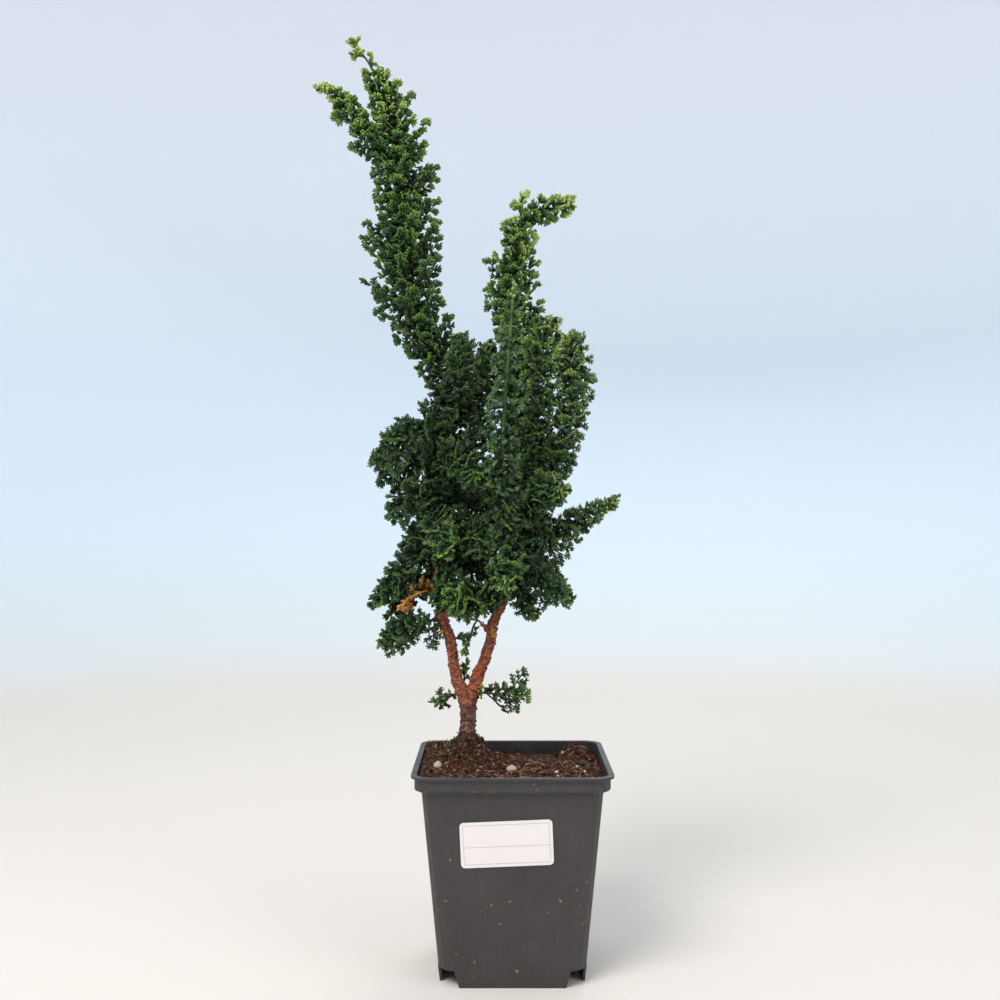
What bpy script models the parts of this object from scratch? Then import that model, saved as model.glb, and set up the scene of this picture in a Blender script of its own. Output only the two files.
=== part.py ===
"""Hinoki cypress bonsai in a square nursery pot, at real size.

Metres, +Z up, +X to the right, -Y towards the viewer. The origin lies on the surface
that the pot stands on, straight below the foot of the trunk.

The wood is one solid: trunk, fork and the bare lower stems. Each leafy stem is a solid of
its own: a slim core along the stem, and flat lobed sprays that stand out of it on all sides.
"""

import math
import random

import bmesh
import bpy
import numpy as np
from mathutils import Euler, Quaternion, Vector

MM = 0.001

# Pot: a thin-walled tapered square with a band and a lip round its mouth, on four skirt feet
POT_CENTRE = Vector((26.2, -15.0, 0.0)) * MM
POT_HEIGHT = 117 * MM
LIP_HALF = 55 * MM
LIP_THICKNESS = 1.3 * MM
BAND_HALF = 53.2 * MM
BAND_BOTTOM = 108.5 * MM
WALL_TOP_HALF = 49.7 * MM
WALL_BOTTOM_HALF = 40.9 * MM
WALL = 1.2 * MM
FOOT_HEIGHT = 9.2 * MM
FLOOR_THICKNESS = 1.5 * MM
CORNER_TOP = 10 * MM
CORNER_BOTTOM = 12 * MM
CORNER_STEPS = 4
FOOT_HALF_TOP = 32 * MM
FOOT_HALF_BOTTOM = 29 * MM
DRAIN_RADIUS = 4 * MM
DRAIN_RING = 22 * MM

# Label: a plain rectangular sticker on the front wall, slightly askew
LABEL_SIZE = (50 * MM, 25 * MM)
LABEL_THICKNESS = 0.4 * MM
LABEL_CORNER = 2.2 * MM
LABEL_STEPS = 3
LABEL_PLACE = (-3.2 * MM, 80.5 * MM)
LABEL_TURN = math.radians(2.4)

# Soil: fills the pot, heaped round the trunk and in the two back corners
FIT_GAP = 0.3 * MM
SOIL_LEVEL = 110.5 * MM
SOIL_RINGS = 8
SOIL_ROUGHNESS = 1.1 * MM
GRIT_COUNT = 12
GRIT_RADIUS = 1.5 * MM
HEAPS = (  # x, y, height, radius of each heap on the soil
    (1 * MM, -2 * MM, 17 * MM, 13 * MM),
    (61 * MM, 22 * MM, 8 * MM, 9 * MM),
    (-13 * MM, 20 * MM, 6 * MM, 14 * MM),
    (48 * MM, 20 * MM, -4.5 * MM, 14 * MM),
)

# Trunk: its foot stands in a plain hole in the soil
HOLE_RADIUS = 6.6 * MM
HOLE_DEPTH = 24 * MM

# Stems, in millimetres: (x, height, depth behind the trunk), as seen in the plane of the
# trunk from the eye point, and the radius there
EYE = Vector((19.4, -745.0, 263.2)) * MM
WOOD = {
    "left": [
        (0.5, 103, 0, 6.1), (0.3, 118, 0, 6.0), (0.2, 127, 0, 5.3), (0.6, 136, 0, 4.6),
        (0.8, 144, 0, 4.9), (-1.6, 151, 0, 4.6), (-6.0, 160, 1, 3.5), (-7.8, 171, 1, 3.2),
        (-9.6, 183, 2, 3.2), (-13.0, 192, 2, 3.3), (-15.6, 205, 3, 2.7), (-18.2, 221, 4, 3.2),
        (-19.4, 236, 5, 2.9), (-18.6, 252, 6, 2.6), (-15.9, 277, 7, 2.3), (-12.9, 301, 7, 2.0),
        (-11.9, 322, 6, 1.7), (-14.0, 334, 5, 0.9),
    ],
    "right": [
        (0.8, 142, 0, 3.8), (3.4, 152, -1, 4.1), (6.6, 163, -2, 3.5), (10.0, 171, -3, 3.2),
        (13.8, 183, -4, 3.2), (15.2, 193, -5, 3.0), (19.4, 202, -5, 2.8), (23.4, 211, -5, 2.7),
        (26.6, 221, -4, 2.6), (28.0, 238, -2, 2.4), (27.2, 256, 2, 2.1), (27.6, 276, 8, 1.8),
        (29.0, 292, 13, 0.9),
    ],
    "left_stub": [(-12.0, 191, 2, 2.4), (-16.0, 196, 1, 2.2), (-18.6, 200, 0, 0.9)],
    "right_stub": [(14.6, 187, -4, 2.0), (11.4, 190, -4, 1.7), (8.6, 193, -4, 0.9)],
}

# Leafy stems, in millimetres. "route" is as for the wood, from the wood to the tip. "reach"
# is how far the twigs stand out, from the start to the tip: to the left hand and the right
# hand of one who walks along the stem, to the front and to the back
LEAFY_STEMS = {
    "plume_left": dict(
        route=[
            (-14.4, 338, 5), (-18.5, 350, 4), (-27.0, 366, 2), (-33.0, 383, 1), (-36.5, 400, 1),
            (-38.2, 418, 2), (-38.0, 436, 3), (-38.6, 456, 3), (-41.5, 474, 2), (-46.0, 492, 1),
            (-51.5, 507, 0), (-56.5, 520, -1), (-62.5, 529, -2), (-68.5, 534, -2),
        ],
        reach=[(15, 15, 12, 12), (22, 25, 16, 16), (34, 26, 18, 18), (21, 28, 17, 18),
               (23, 24, 16, 16), (18, 26, 14, 14), (11, 21, 12, 12), (9, 8, 7, 7), (6, 4, 4, 4)],
    ),
    "plume_left_fork": dict(
        route=[(-47.5, 468, -5), (-56.0, 481, -7), (-64.0, 493, -8), (-73.5, 503, -8),
               (-84.0, 509, -8)],
        reach=[(14, 4, 8, 7), (18, 5, 10, 8), (16, 5, 8, 7), (8, 4, 6, 5), (4, 3, 4, 4)],
        on="plume_left",
    ),
    "shoot_front": dict(
        route=[(24.6, 240, -14), (22.6, 262, -26), (21.0, 285, -36), (21.4, 310, -42),
               (23.0, 335, -43), (25.2, 360, -42), (26.6, 380, -40), (27.6, 391, -39)],
        reach=[(12, 12, 12, 6), (15, 13, 12, 8), (15, 14, 12, 8), (14, 12, 11, 8),
               (14, 12, 10, 8), (12, 10, 9, 7), (9, 8, 8, 7), (5, 5, 5, 5)],
        droop=0.75,
    ),
    "leader_back": dict(
        route=[(29.4, 297, 16), (31.5, 316, 21), (32.0, 340, 23), (29.5, 362, 22),
               (26.5, 380, 20), (27.5, 398, 19), (29.5, 418, 18), (31.5, 434, 17),
               (32.0, 444, 16)],
        reach=[(10, 12, 14, 20), (14, 20, 14, 22), (17, 18, 14, 20), (14, 22, 13, 16),
               (18, 21, 12, 14), (18, 15, 10, 11), (10, 11, 9, 9), (5, 5, 4, 4)],
    ),
    "leader_back_side": dict(
        route=[(32.4, 428, 13), (41.0, 434, 11), (50.0, 437, 10), (60.5, 440, 9)],
        reach=[(6, 5, 6, 6), (10, 9, 7, 7), (9, 9, 7, 7), (4, 4, 4, 4)],
        on="leader_back",
    ),
    "leader_mid": dict(
        route=[(32.0, 262, -2), (37.6, 282, -8), (41.0, 306, -11), (42.0, 332, -11),
               (42.6, 352, -10), (46.5, 371, -9)],
        reach=[(9, 10, 14, 10), (12, 13, 16, 12), (12, 14, 14, 12), (10, 15, 11, 11),
               (14, 18, 11, 11), (10, 12, 8, 8)],
        droop=0.45,
    ),
    "leader_right": dict(
        route=[(32.2, 247, 2), (45.0, 266, -2), (54.0, 290, -6), (60.5, 316, -8),
               (63.5, 338, -8), (61.0, 361, -7)],
        reach=[(7, 8, 12, 12), (12, 10, 18, 16), (14, 11, 18, 18), (16, 12, 16, 16),
               (21, 14, 14, 14), (14, 11, 10, 10)],
        droop=0.25,
    ),
    "spray_left_mid": dict(
        route=[(-15.5, 304, 2), (-24.0, 310, -4), (-36.0, 305, -7), (-47.0, 296, -8),
               (-55.5, 288, -8)],
        reach=[(20, 18, 11, 10), (26, 14, 13, 12), (22, 9, 12, 12), (13, 5, 9, 9), (5, 3, 4, 4)],
    ),
    "spray_left_inner": dict(
        route=[(-19.4, 268, 2), (-29.0, 268, -6), (-37.5, 263, -9), (-44.5, 256, -9)],
        reach=[(13, 14, 10, 9), (16, 15, 12, 11), (12, 9, 9, 9), (4, 4, 4, 4)],
    ),
    "spray_left_low": dict(
        route=[(-22.0, 239, 3), (-32.0, 234, -1), (-43.0, 221, -3), (-55.5, 205, -4)],
        reach=[(18, 11, 12, 10), (19, 8, 14, 12), (12, 5, 11, 10), (4, 3, 4, 4)],
    ),
    "spray_left_lowest": dict(
        route=[(-22.0, 194, -1), (-30.0, 192, -2), (-40.0, 188, -4), (-50.5, 181, -5)],
        reach=[(16, 12, 9, 8), (18, 14, 12, 12), (12, 9, 11, 10), (4, 3, 4, 4)],
    ),
    "spray_left_front": dict(
        route=[(-15.0, 224, -5), (-12.5, 221, -13), (-10.0, 217, -21)],
        reach=[(8, 8, 7, 7), (11, 10, 8, 8), (5, 5, 4, 4)],
    ),
    "spray_centre_front": dict(
        route=[(19.0, 206, -8), (13.0, 208, -20), (5.0, 207, -32), (-6.0, 204, -42)],
        reach=[(8, 10, 8, 8), (13, 17, 12, 12), (13, 18, 12, 12), (6, 11, 6, 6)],
    ),
    "spray_centre": dict(
        route=[(-13.5, 283, 2), (-6.0, 288, -12), (0.0, 286, -26), (6.0, 279, -38)],
        reach=[(14, 9, 9, 9), (23, 14, 13, 13), (22, 13, 12, 12), (8, 5, 5, 5)],
    ),
    "spray_centre_low": dict(
        route=[(-16.0, 244, 3), (-6.0, 248, -5), (3.0, 244, -14), (10.0, 236, -24)],
        reach=[(12, 9, 8, 8), (19, 13, 12, 12), (17, 12, 11, 11), (6, 5, 5, 5)],
    ),
    "spray_centre_top": dict(
        route=[(-9.5, 320, 2), (-5.0, 334, -4), (-3.0, 349, -7), (-3.5, 361, -8)],
        reach=[(8, 11, 10, 10), (12, 14, 14, 12), (10, 11, 10, 10), (5, 5, 5, 5)],
    ),
    "spray_centre_right_top": dict(
        route=[(-9.5, 310, 8), (1.0, 320, 10), (8.5, 337, 10), (12.0, 356, 8)],
        reach=[(8, 20, 8, 10), (12, 22, 14, 14), (11, 13, 12, 12), (5, 5, 5, 5)],
    ),
    "spray_right": dict(
        route=[(31.0, 236, -3), (46.0, 241, -8), (61.0, 250, -12), (75.0, 259, -13),
               (87.0, 264, -13)],
        reach=[(8, 9, 8, 8), (12, 16, 12, 12), (11, 11, 10, 10), (7, 6, 6, 6), (5, 4, 4, 4)],
    ),
    "spray_right_low": dict(
        route=[(29.5, 225, -4), (40.0, 221, -10), (50.0, 214, -13), (59.0, 206, -14)],
        reach=[(8, 19, 8, 8), (11, 16, 12, 11), (10, 9, 10, 9), (4, 4, 4, 4)],
    ),
    "spray_right_front": dict(
        route=[(26.0, 226, -10), (25.0, 228, -24), (23.5, 224, -36), (24.0, 215, -46)],
        reach=[(8, 8, 8, 8), (13, 13, 12, 12), (12, 12, 11, 11), (4, 4, 4, 4)],
    ),
    "spray_right_high": dict(
        route=[(33.0, 256, -8), (42.0, 268, -22), (50.0, 272, -33), (57.0, 270, -40)],
        reach=[(9, 9, 8, 8), (13, 13, 12, 12), (12, 12, 11, 11), (4, 4, 4, 4)],
    ),
    "spray_back_left": dict(
        route=[(-19.0, 248, 12), (-22.0, 250, 26), (-26.0, 244, 42), (-28.0, 236, 56)],
        reach=[(10, 10, 9, 9), (16, 16, 14, 14), (14, 14, 12, 12), (4, 4, 4, 4)],
    ),
    "spray_back_left_high": dict(
        route=[(-16.0, 284, 12), (-20.0, 294, 26), (-24.0, 297, 40), (-27.0, 294, 53)],
        reach=[(10, 10, 9, 9), (16, 16, 14, 14), (14, 14, 12, 12), (4, 4, 4, 4)],
    ),
    "spray_back_centre": dict(
        route=[(-15.0, 268, 12), (-6.0, 274, 27), (1.0, 276, 45), (5.0, 270, 66)],
        reach=[(12, 12, 9, 9), (22, 20, 14, 14), (18, 16, 12, 12), (4, 4, 4, 4)],
    ),
    "spray_back_centre_low": dict(
        route=[(-15.0, 228, 9), (-6.0, 234, 20), (2.0, 234, 35), (8.0, 226, 50)],
        reach=[(9, 14, 9, 9), (15, 18, 13, 13), (13, 14, 12, 12), (4, 4, 4, 4)],
    ),
    "spray_back_right": dict(
        route=[(29.5, 246, 5), (33.0, 252, 23), (36.0, 252, 42), (38.0, 244, 62)],
        reach=[(10, 10, 9, 9), (16, 16, 14, 14), (15, 15, 12, 12), (4, 4, 4, 4)],
    ),
    "spray_back_right_low": dict(
        route=[(28.5, 226, 1), (36.0, 228, 14), (46.0, 224, 26), (53.0, 214, 36)],
        reach=[(9, 9, 8, 8), (13, 13, 12, 12), (12, 12, 11, 11), (4, 4, 4, 4)],
    ),
    "spray_back_right_high": dict(
        route=[(30.5, 272, 12), (38.0, 284, 26), (44.0, 292, 38), (48.0, 293, 50)],
        reach=[(10, 10, 9, 9), (16, 16, 14, 14), (14, 14, 12, 12), (4, 4, 4, 4)],
    ),
    "spray_right_under": dict(
        route=[(30.0, 216, 0), (33.0, 210, -4), (36.0, 203, -7), (38.5, 197, -9)],
        reach=[(8, 8, 7, 7), (10, 10, 8, 8), (8, 8, 7, 7), (4, 4, 4, 4)],
    ),
    "spray_inner_centre": dict(
        route=[(-10.0, 292, 8), (-2.0, 298, 12), (6.0, 304, 14), (12.0, 308, 15)],
        reach=[(9, 9, 8, 8), (13, 14, 10, 10), (12, 13, 10, 10), (6, 6, 5, 5)],
    ),
    "twig_low_right": dict(
        route=[(6.0, 153, -6), (13.0, 152, -8), (22.0, 152, -9), (32.5, 154, -9)],
        reach=[(4, 9, 4, 4), (8, 17, 6, 6), (13, 9, 6, 6), (5, 5, 4, 4)],
    ),
    "twig_low_left": dict(
        route=[(-6.0, 152, 4), (-11.0, 150, 7), (-17.0, 146, 9)],
        reach=[(3, 5, 4, 4), (7, 7, 5, 5), (4, 4, 4, 4)],
    ),
    "twig_fork": dict(
        route=[(-2.0, 158, 5), (-1.5, 163, 8), (0.0, 170, 10)],
        reach=[(3, 3, 3, 3), (5, 5, 4, 4), (4, 4, 4, 4)],
    ),
    "twig_hanging": dict(
        route=[(6.2, 195, -4), (3.6, 191, -5), (1.5, 184, -5), (-2.0, 177, -5)],
        reach=[(2, 2, 2, 2), (3, 3, 3, 3), (4, 3, 3, 3), (3, 3, 3, 3)],
    ),
    "twig_behind": dict(
        route=[(-7.0, 184, 7), (-3.5, 186, 10), (1.0, 186, 12)],
        reach=[(3, 3, 3, 3), (6, 6, 5, 5), (4, 4, 4, 4)],
    ),
    "dead_twig_left": dict(
        route=[(-20.5, 212, 0), (-25.0, 212, -6), (-32.0, 209, -10), (-39.0, 203, -12)],
        reach=[(6, 9, 8, 5), (9, 8, 8, 5), (8, 5, 5, 4), (4, 4, 4, 4)],
        dead=True,
    ),
}

# Twigs and the flat sprays on them
TWIG_STEP = 1.45 * MM
TWIG_EVERY = 6
TWIG_LEAN = 0.95
TWIG_SHORTEST = 6 * MM
GOLDEN_ANGLE = math.pi * (3 - math.sqrt(5))
CORE_SHARE = 0.36
CORE_SPACING = 10 * MM
CORE_LEAST = 0.9 * MM
FINE_SPACING = 0.2 * MM
ROOT_ROOM = 8 * MM
TIP_RADIUS = 1.3 * MM
LOBE_PAIRS = 3
LOBE_SPACING = 6.6 * MM
LOBE_LENGTH = 10.0 * MM
LOBE_ANGLE = math.radians(50)
LOBE_BLUNT = 1.7 * MM
LOBE_THICKNESS = 1.2 * MM
RIB_THICKNESS = 1.8 * MM
NOTCH_HALF = 2.0 * MM
NOTCH_BACK = 2.1 * MM
CLEARANCE = 0.3 * MM

LEAF_GREEN = (0.055, 0.13, 0.045, 1.0)
DEAD_OCHRE = (0.42, 0.17, 0.04, 1.0)
BARK_BROWN = (0.24, 0.10, 0.06, 1.0)
SOIL_BROWN = (0.07, 0.035, 0.022, 1.0)
POT_GREY = (0.07, 0.066, 0.066, 1.0)
LABEL_WHITE = (0.86, 0.83, 0.84, 1.0)


def clear_scene():
    for obj in list(bpy.data.objects):
        bpy.data.objects.remove(obj)


def new_collection(name):
    collection = bpy.data.collections.new(name)
    bpy.context.scene.collection.children.link(collection)
    return collection


def material(name, colour, roughness):
    made = bpy.data.materials.new(name)
    made.use_nodes = True
    shader = made.node_tree.nodes["Principled BSDF"]
    shader.inputs["Base Color"].default_value = colour
    shader.inputs["Roughness"].default_value = roughness
    shader.inputs["Metallic"].default_value = 0.0
    return made


def mesh_object(name, bm, collection):
    """An object holding what the bmesh holds, with its normals pointing out."""
    bmesh.ops.recalc_face_normals(bm, faces=bm.faces)
    mesh = bpy.data.meshes.new(name)
    bm.to_mesh(mesh)
    bm.free()
    obj = bpy.data.objects.new(name, mesh)
    collection.objects.link(obj)
    return obj


def finish(obj, look):
    """Gives a finished part its material and shades its round faces smooth."""
    obj.data.materials.clear()
    obj.data.materials.append(look)
    obj.data.shade_smooth()
    obj.data.set_sharp_from_angle(angle=math.radians(40))
    return obj


def apply_modifiers(obj):
    bpy.context.view_layer.update()
    graph = bpy.context.evaluated_depsgraph_get()
    mesh = bpy.data.meshes.new_from_object(obj.evaluated_get(graph))
    obj.modifiers.clear()
    obj.data = mesh


def join_all(base, pieces):
    """One Boolean union of a base with the pieces of a collection, which are then removed."""
    join = base.modifiers.new("join", "BOOLEAN")
    join.operation = "UNION"
    join.operand_type = "COLLECTION"
    join.collection = pieces
    apply_modifiers(base)
    for obj in list(pieces.objects):
        bpy.data.objects.remove(obj)
    bpy.data.collections.remove(pieces)


def cut(base, cutters):
    """Takes each cutter out of the base."""
    for cutter in cutters:
        modifier = base.modifiers.new("cut", "BOOLEAN")
        modifier.operation = "DIFFERENCE"
        modifier.object = cutter
    apply_modifiers(base)
    for cutter in cutters:
        bpy.data.objects.remove(cutter)


def tube(name, points, radii, collection, resolution):
    """A closed tube through the points, as thick at each as its radius."""
    curve = bpy.data.curves.new(name, "CURVE")
    curve.dimensions = "3D"
    curve.bevel_depth = 1.0
    curve.bevel_resolution = resolution
    curve.use_fill_caps = True
    spline = curve.splines.new("POLY")
    spline.points.add(len(points) - 1)
    for place, point, radius in zip(spline.points, points, radii):
        place.co = (*point, 1.0)
        place.radius = radius
    return mesh_of_curve(name, bpy.data.objects.new(name + "_curve", curve), collection)


def mesh_of_curve(name, drawn, collection):
    """The closed mesh of a curve object, which it replaces."""
    collection.objects.link(drawn)
    bpy.context.view_layer.update()
    graph = bpy.context.evaluated_depsgraph_get()
    mesh = bpy.data.meshes.new_from_object(drawn.evaluated_get(graph))
    place = drawn.matrix_world.copy()
    bpy.data.objects.remove(drawn)
    bm = bmesh.new()
    bm.from_mesh(mesh)
    bpy.data.meshes.remove(mesh)
    bmesh.ops.remove_doubles(bm, verts=bm.verts, dist=0.01 * MM)
    obj = mesh_object(name, bm, collection)
    obj.matrix_world = place
    return obj


# Routes of stems


def in_space(x, height, depth):
    """The point at this depth that is seen from the eye point at (x, height) by the trunk."""
    seen = Vector((x, 0.0, height)) * MM
    return EYE + (seen - EYE) * ((depth * MM - EYE.y) / -EYE.y)


def smooth_route(points, spacing):
    """Points about this far apart on a smooth curve through the given points."""
    ends = [points[0] * 2 - points[1], *points, points[-1] * 2 - points[-2]]
    fine = 12
    dense = []
    for a, b, c, d in zip(ends, ends[1:], ends[2:], ends[3:]):
        for i in range(fine):
            t = i / fine
            dense.append(
                0.5 * (2 * b + (c - a) * t + (2 * a - 5 * b + 4 * c - d) * t**2
                       + (3 * b - a - 3 * c + d) * t**3)
            )
    dense.append(points[-1])
    along = [0.0]
    for a, b in zip(dense, dense[1:]):
        along.append(along[-1] + (b - a).length)
    count = max(3, round(along[-1] / spacing) + 1)
    wanted = np.linspace(0, along[-1], count)
    columns = [np.interp(wanted, along, [p[axis] for p in dense]) for axis in range(3)]
    return [Vector(p) for p in zip(*columns)]


def blend_along(rows, share):
    """The row of numbers at this share of the way through evenly spaced rows."""
    place = share * (len(rows) - 1)
    low = min(int(place), len(rows) - 2)
    part = place - low
    return [a + (b - a) * part for a, b in zip(rows[low], rows[low + 1])]


def hands(direction):
    """Left hand, as seen by the viewer, and front, for one who walks in this direction."""
    left = direction.cross(Vector((0, 1, 0)))
    left = left.normalized() if left.length > 0.2 else Vector((-1, 0, 0))
    front = left.cross(direction).normalized()
    return left, front if front.y < 0 or abs(direction.y) > 0.97 else -front


# Which space is taken


class TakenSpace:
    """The space that solids fill, as capsules: rods with round ends, each with an owner."""

    def __init__(self):
        self.starts, self.ends, self.radii, self.owners = [], [], [], []
        self.table = None

    def add(self, start, end, radius, owner):
        self.starts.append(tuple(start))
        self.ends.append(tuple(end))
        self.radii.append(radius)
        self.owners.append(owner)
        self.table = None

    def add_rod(self, route, radii, owner):
        """Adds a tapering rod whose flat far end is where the route ends."""
        route = [*route[:-1], route[-1] - (route[-1] - route[-2]).normalized() * radii[-1]]
        parts = 4
        for a, b, r, s in zip(route, route[1:], radii, radii[1:]):
            for i in range(parts):
                near, far = i / parts, (i + 1) / parts
                widest = max(r + (s - r) * near, r + (s - r) * far)
                self.add(a.lerp(b, near), a.lerp(b, far), widest, owner)

    def axis_point(self, point, owner):
        """The nearest point to this one on the axes of what an owner holds."""
        best = None
        for start, end, name in zip(self.starts, self.ends, self.owners):
            if name != owner:
                continue
            start, end = Vector(start), Vector(end)
            line = end - start
            share = min(max((point - start).dot(line) / line.length_squared, 0), 1)
            near = start + line * share
            if best is None or (near - point).length < (best - point).length:
                best = near
        return best

    def drop(self, owner):
        """Forgets what this owner holds."""
        keep = [i for i, name in enumerate(self.owners) if name != owner]
        for rows in (self.starts, self.ends, self.radii, self.owners):
            rows[:] = [rows[i] for i in keep]
        self.table = None

    def gap(self, start, end, owner):
        """The distance from this segment to the nearest surface of any other owner."""
        if self.table is None:
            self.table = (np.array(self.starts), np.array(self.ends), np.array(self.radii),
                          np.array(self.owners))
        starts, ends, radii, owners = self.table
        away = segment_distance(np.array(start), np.array(end), starts, ends) - radii
        away = away[owners != owner]
        return float(away.min()) if len(away) else 1.0


def segment_distance(start, end, starts, ends):
    """The shortest distance from one segment to each of many."""
    one, many, between = end - start, ends - starts, start - starts
    a, e = max(one @ one, 1e-18), np.einsum("ij,ij->i", many, many)
    b, c, f = many @ one, between @ one, np.einsum("ij,ij->i", many, between)
    room = np.maximum(a * e - b * b, 1e-18)
    s = np.clip((b * f - c * e) / room, 0, 1)
    t = (b * s + f) / e
    s = np.where(t < 0, np.clip(-c / a, 0, 1), np.where(t > 1, np.clip((b - c) / a, 0, 1), s))
    t = np.clip(t, 0, 1)
    return np.linalg.norm(start + s[:, None] * one - starts - t[:, None] * many, axis=1)


# Pot, label and soil


def rounded_square(half, corner, z, steps=CORNER_STEPS):
    """Points round a square with rounded corners, centred on the pot."""
    points = []
    for quarter in range(4):
        middle = math.pi / 4 + quarter * math.pi / 2
        reach = (half - corner) * math.sqrt(2)
        centre = Vector((math.cos(middle), math.sin(middle), 0)) * reach
        for step in range(steps + 1):
            turn = middle - math.pi / 4 + step * math.pi / 2 / steps
            points.append(POT_CENTRE + centre + Vector(
                (math.cos(turn) * corner, math.sin(turn) * corner, z)))
    return points


def loft(rings, bm):
    """A closed solid over rings with equal numbers of points, its first and last filled."""
    loops = [[bm.verts.new(point) for point in ring] for ring in rings]
    for low, high in zip(loops, loops[1:]):
        for i, vert in enumerate(low):
            j = (i + 1) % len(low)
            bm.faces.new((vert, low[j], high[j], high[i]))
    bm.faces.new(loops[0])
    bm.faces.new(loops[-1])


def wall_half(z):
    """Half the outside width of the pot's wall at this height."""
    share = (z - FOOT_HEIGHT) / (BAND_BOTTOM - FOOT_HEIGHT)
    return WALL_BOTTOM_HALF + (WALL_TOP_HALF - WALL_BOTTOM_HALF) * share


def pot_profile():
    """Half width, corner radius and height of each ring, from the underside over the lip."""
    ledge = BAND_BOTTOM + WALL
    return [
        (WALL_BOTTOM_HALF, CORNER_BOTTOM, FOOT_HEIGHT),
        (WALL_TOP_HALF, CORNER_TOP, BAND_BOTTOM),
        (BAND_HALF - 0.8 * MM, CORNER_TOP, BAND_BOTTOM),
        (BAND_HALF, CORNER_TOP, BAND_BOTTOM + 0.8 * MM),
        (BAND_HALF, CORNER_TOP, POT_HEIGHT - LIP_THICKNESS),
        (LIP_HALF, CORNER_TOP, POT_HEIGHT - LIP_THICKNESS),
        (LIP_HALF, CORNER_TOP, POT_HEIGHT),
        (BAND_HALF - WALL, CORNER_TOP - WALL, POT_HEIGHT),
        (BAND_HALF - WALL, CORNER_TOP - WALL, ledge),
        (WALL_TOP_HALF - WALL, CORNER_TOP - WALL, ledge - 0.6 * MM),
        (WALL_BOTTOM_HALF - WALL, CORNER_BOTTOM - WALL, FOOT_HEIGHT + FLOOR_THICKNESS),
    ]


def pot_foot(turn, collection):
    """One skirt foot: the wall's flat part carried on down, narrower at its foot."""
    bm = bmesh.new()
    bmesh.ops.create_cube(bm, size=1.0)
    overlap = 1.0 * MM
    for vert in bm.verts:
        high = vert.co.z > 0
        z = FOOT_HEIGHT + overlap if high else 0.0
        half = FOOT_HALF_TOP if high else FOOT_HALF_BOTTOM
        outer = wall_half(z) - 0.02 * MM
        inset = 0 if vert.co.y < 0 else WALL * 1.25
        vert.co = Vector((math.copysign(half, vert.co.x), -(outer - inset), z))
        vert.co.rotate(turn)
        vert.co += POT_CENTRE
    return mesh_object("foot", bm, collection)


def upright(name, place, radius, low, high, collection, sides=24):
    """A plain upright cylinder."""
    bm = bmesh.new()
    bmesh.ops.create_cone(bm, cap_ends=True, segments=sides, radius1=radius, radius2=radius,
                          depth=high - low)
    for vert in bm.verts:
        vert.co += Vector((place.x, place.y, (low + high) / 2))
    return mesh_object(name, bm, collection)


def make_pot(parts, helpers):
    bm = bmesh.new()
    loft([rounded_square(*row) for row in pot_profile()], bm)
    pot = mesh_object("pot", bm, parts)
    feet = new_collection("feet")
    for quarter in range(4):
        pot_foot(Euler((0, 0, quarter * math.pi / 2)), feet)
    join_all(pot, feet)
    drains = []
    for quarter in range(4):
        turn = math.pi / 4 + quarter * math.pi / 2
        place = POT_CENTRE + Vector((math.cos(turn), math.sin(turn), 0)) * DRAIN_RING
        drains.append(upright("drain", place, DRAIN_RADIUS, 0.0, FOOT_HEIGHT + 4 * MM,
                              helpers, sides=12))
    cut(pot, drains)
    return finish(pot, material("pot_plastic", POT_GREY, 0.45))


def make_label(parts):
    """A thin sheet with rounded corners, laid flat against the sloping front wall."""
    curve = bpy.data.curves.new("label", "CURVE")
    curve.dimensions = "2D"
    curve.fill_mode = "BOTH"
    curve.extrude = LABEL_THICKNESS / 2
    outline = []
    for quarter in range(4):
        right = 1 if quarter in (0, 3) else -1
        up = 1 if quarter in (0, 1) else -1
        for step in range(LABEL_STEPS + 1):
            turn = (quarter + step / LABEL_STEPS) * math.pi / 2
            point = Vector((right * (LABEL_SIZE[0] / 2 - LABEL_CORNER), 0.0, 0.0))
            point.y = up * (LABEL_SIZE[1] / 2 - LABEL_CORNER)
            point += Vector((math.cos(turn), math.sin(turn), 0.0)) * LABEL_CORNER
            outline.append(point)
    spline = curve.splines.new("POLY")
    spline.use_cyclic_u = True
    spline.points.add(len(outline) - 1)
    for place, point in zip(spline.points, outline):
        point.rotate(Euler((0, 0, LABEL_TURN)))
        place.co = (*point, 1.0)
    slope = math.atan((WALL_TOP_HALF - WALL_BOTTOM_HALF) / (BAND_BOTTOM - FOOT_HEIGHT))
    outward = Vector((0, -math.cos(slope), -math.sin(slope)))
    place = POT_CENTRE + Vector((LABEL_PLACE[0], -wall_half(LABEL_PLACE[1]), LABEL_PLACE[1]))
    drawn = bpy.data.objects.new("label_curve", curve)
    drawn.location = place + outward * (FIT_GAP + LABEL_THICKNESS / 2)
    drawn.rotation_euler = (math.pi / 2 + slope, 0, 0)
    label = mesh_of_curve("label", drawn, parts)
    return finish(label, material("label_paper", LABEL_WHITE, 0.5))


def soil_height(x, y):
    """Height of the soil's surface: level, heaped here and there, and lumpy."""
    z = SOIL_LEVEL
    for heap_x, heap_y, height, radius in HEAPS:
        away = ((x - heap_x) ** 2 + (y - heap_y) ** 2) / radius**2
        z += height * math.exp(-away)
    for turn, size in ((0.4, 0.006), (1.9, 0.0043), (3.1, 0.0032), (5.0, 0.0024)):
        along = (x * math.cos(turn) + y * math.sin(turn)) / size
        across = (y * math.cos(turn) - x * math.sin(turn)) / size
        z += SOIL_ROUGHNESS * 0.5 * math.sin(along + turn) * math.sin(across * 1.3 + turn)
    return z


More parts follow.
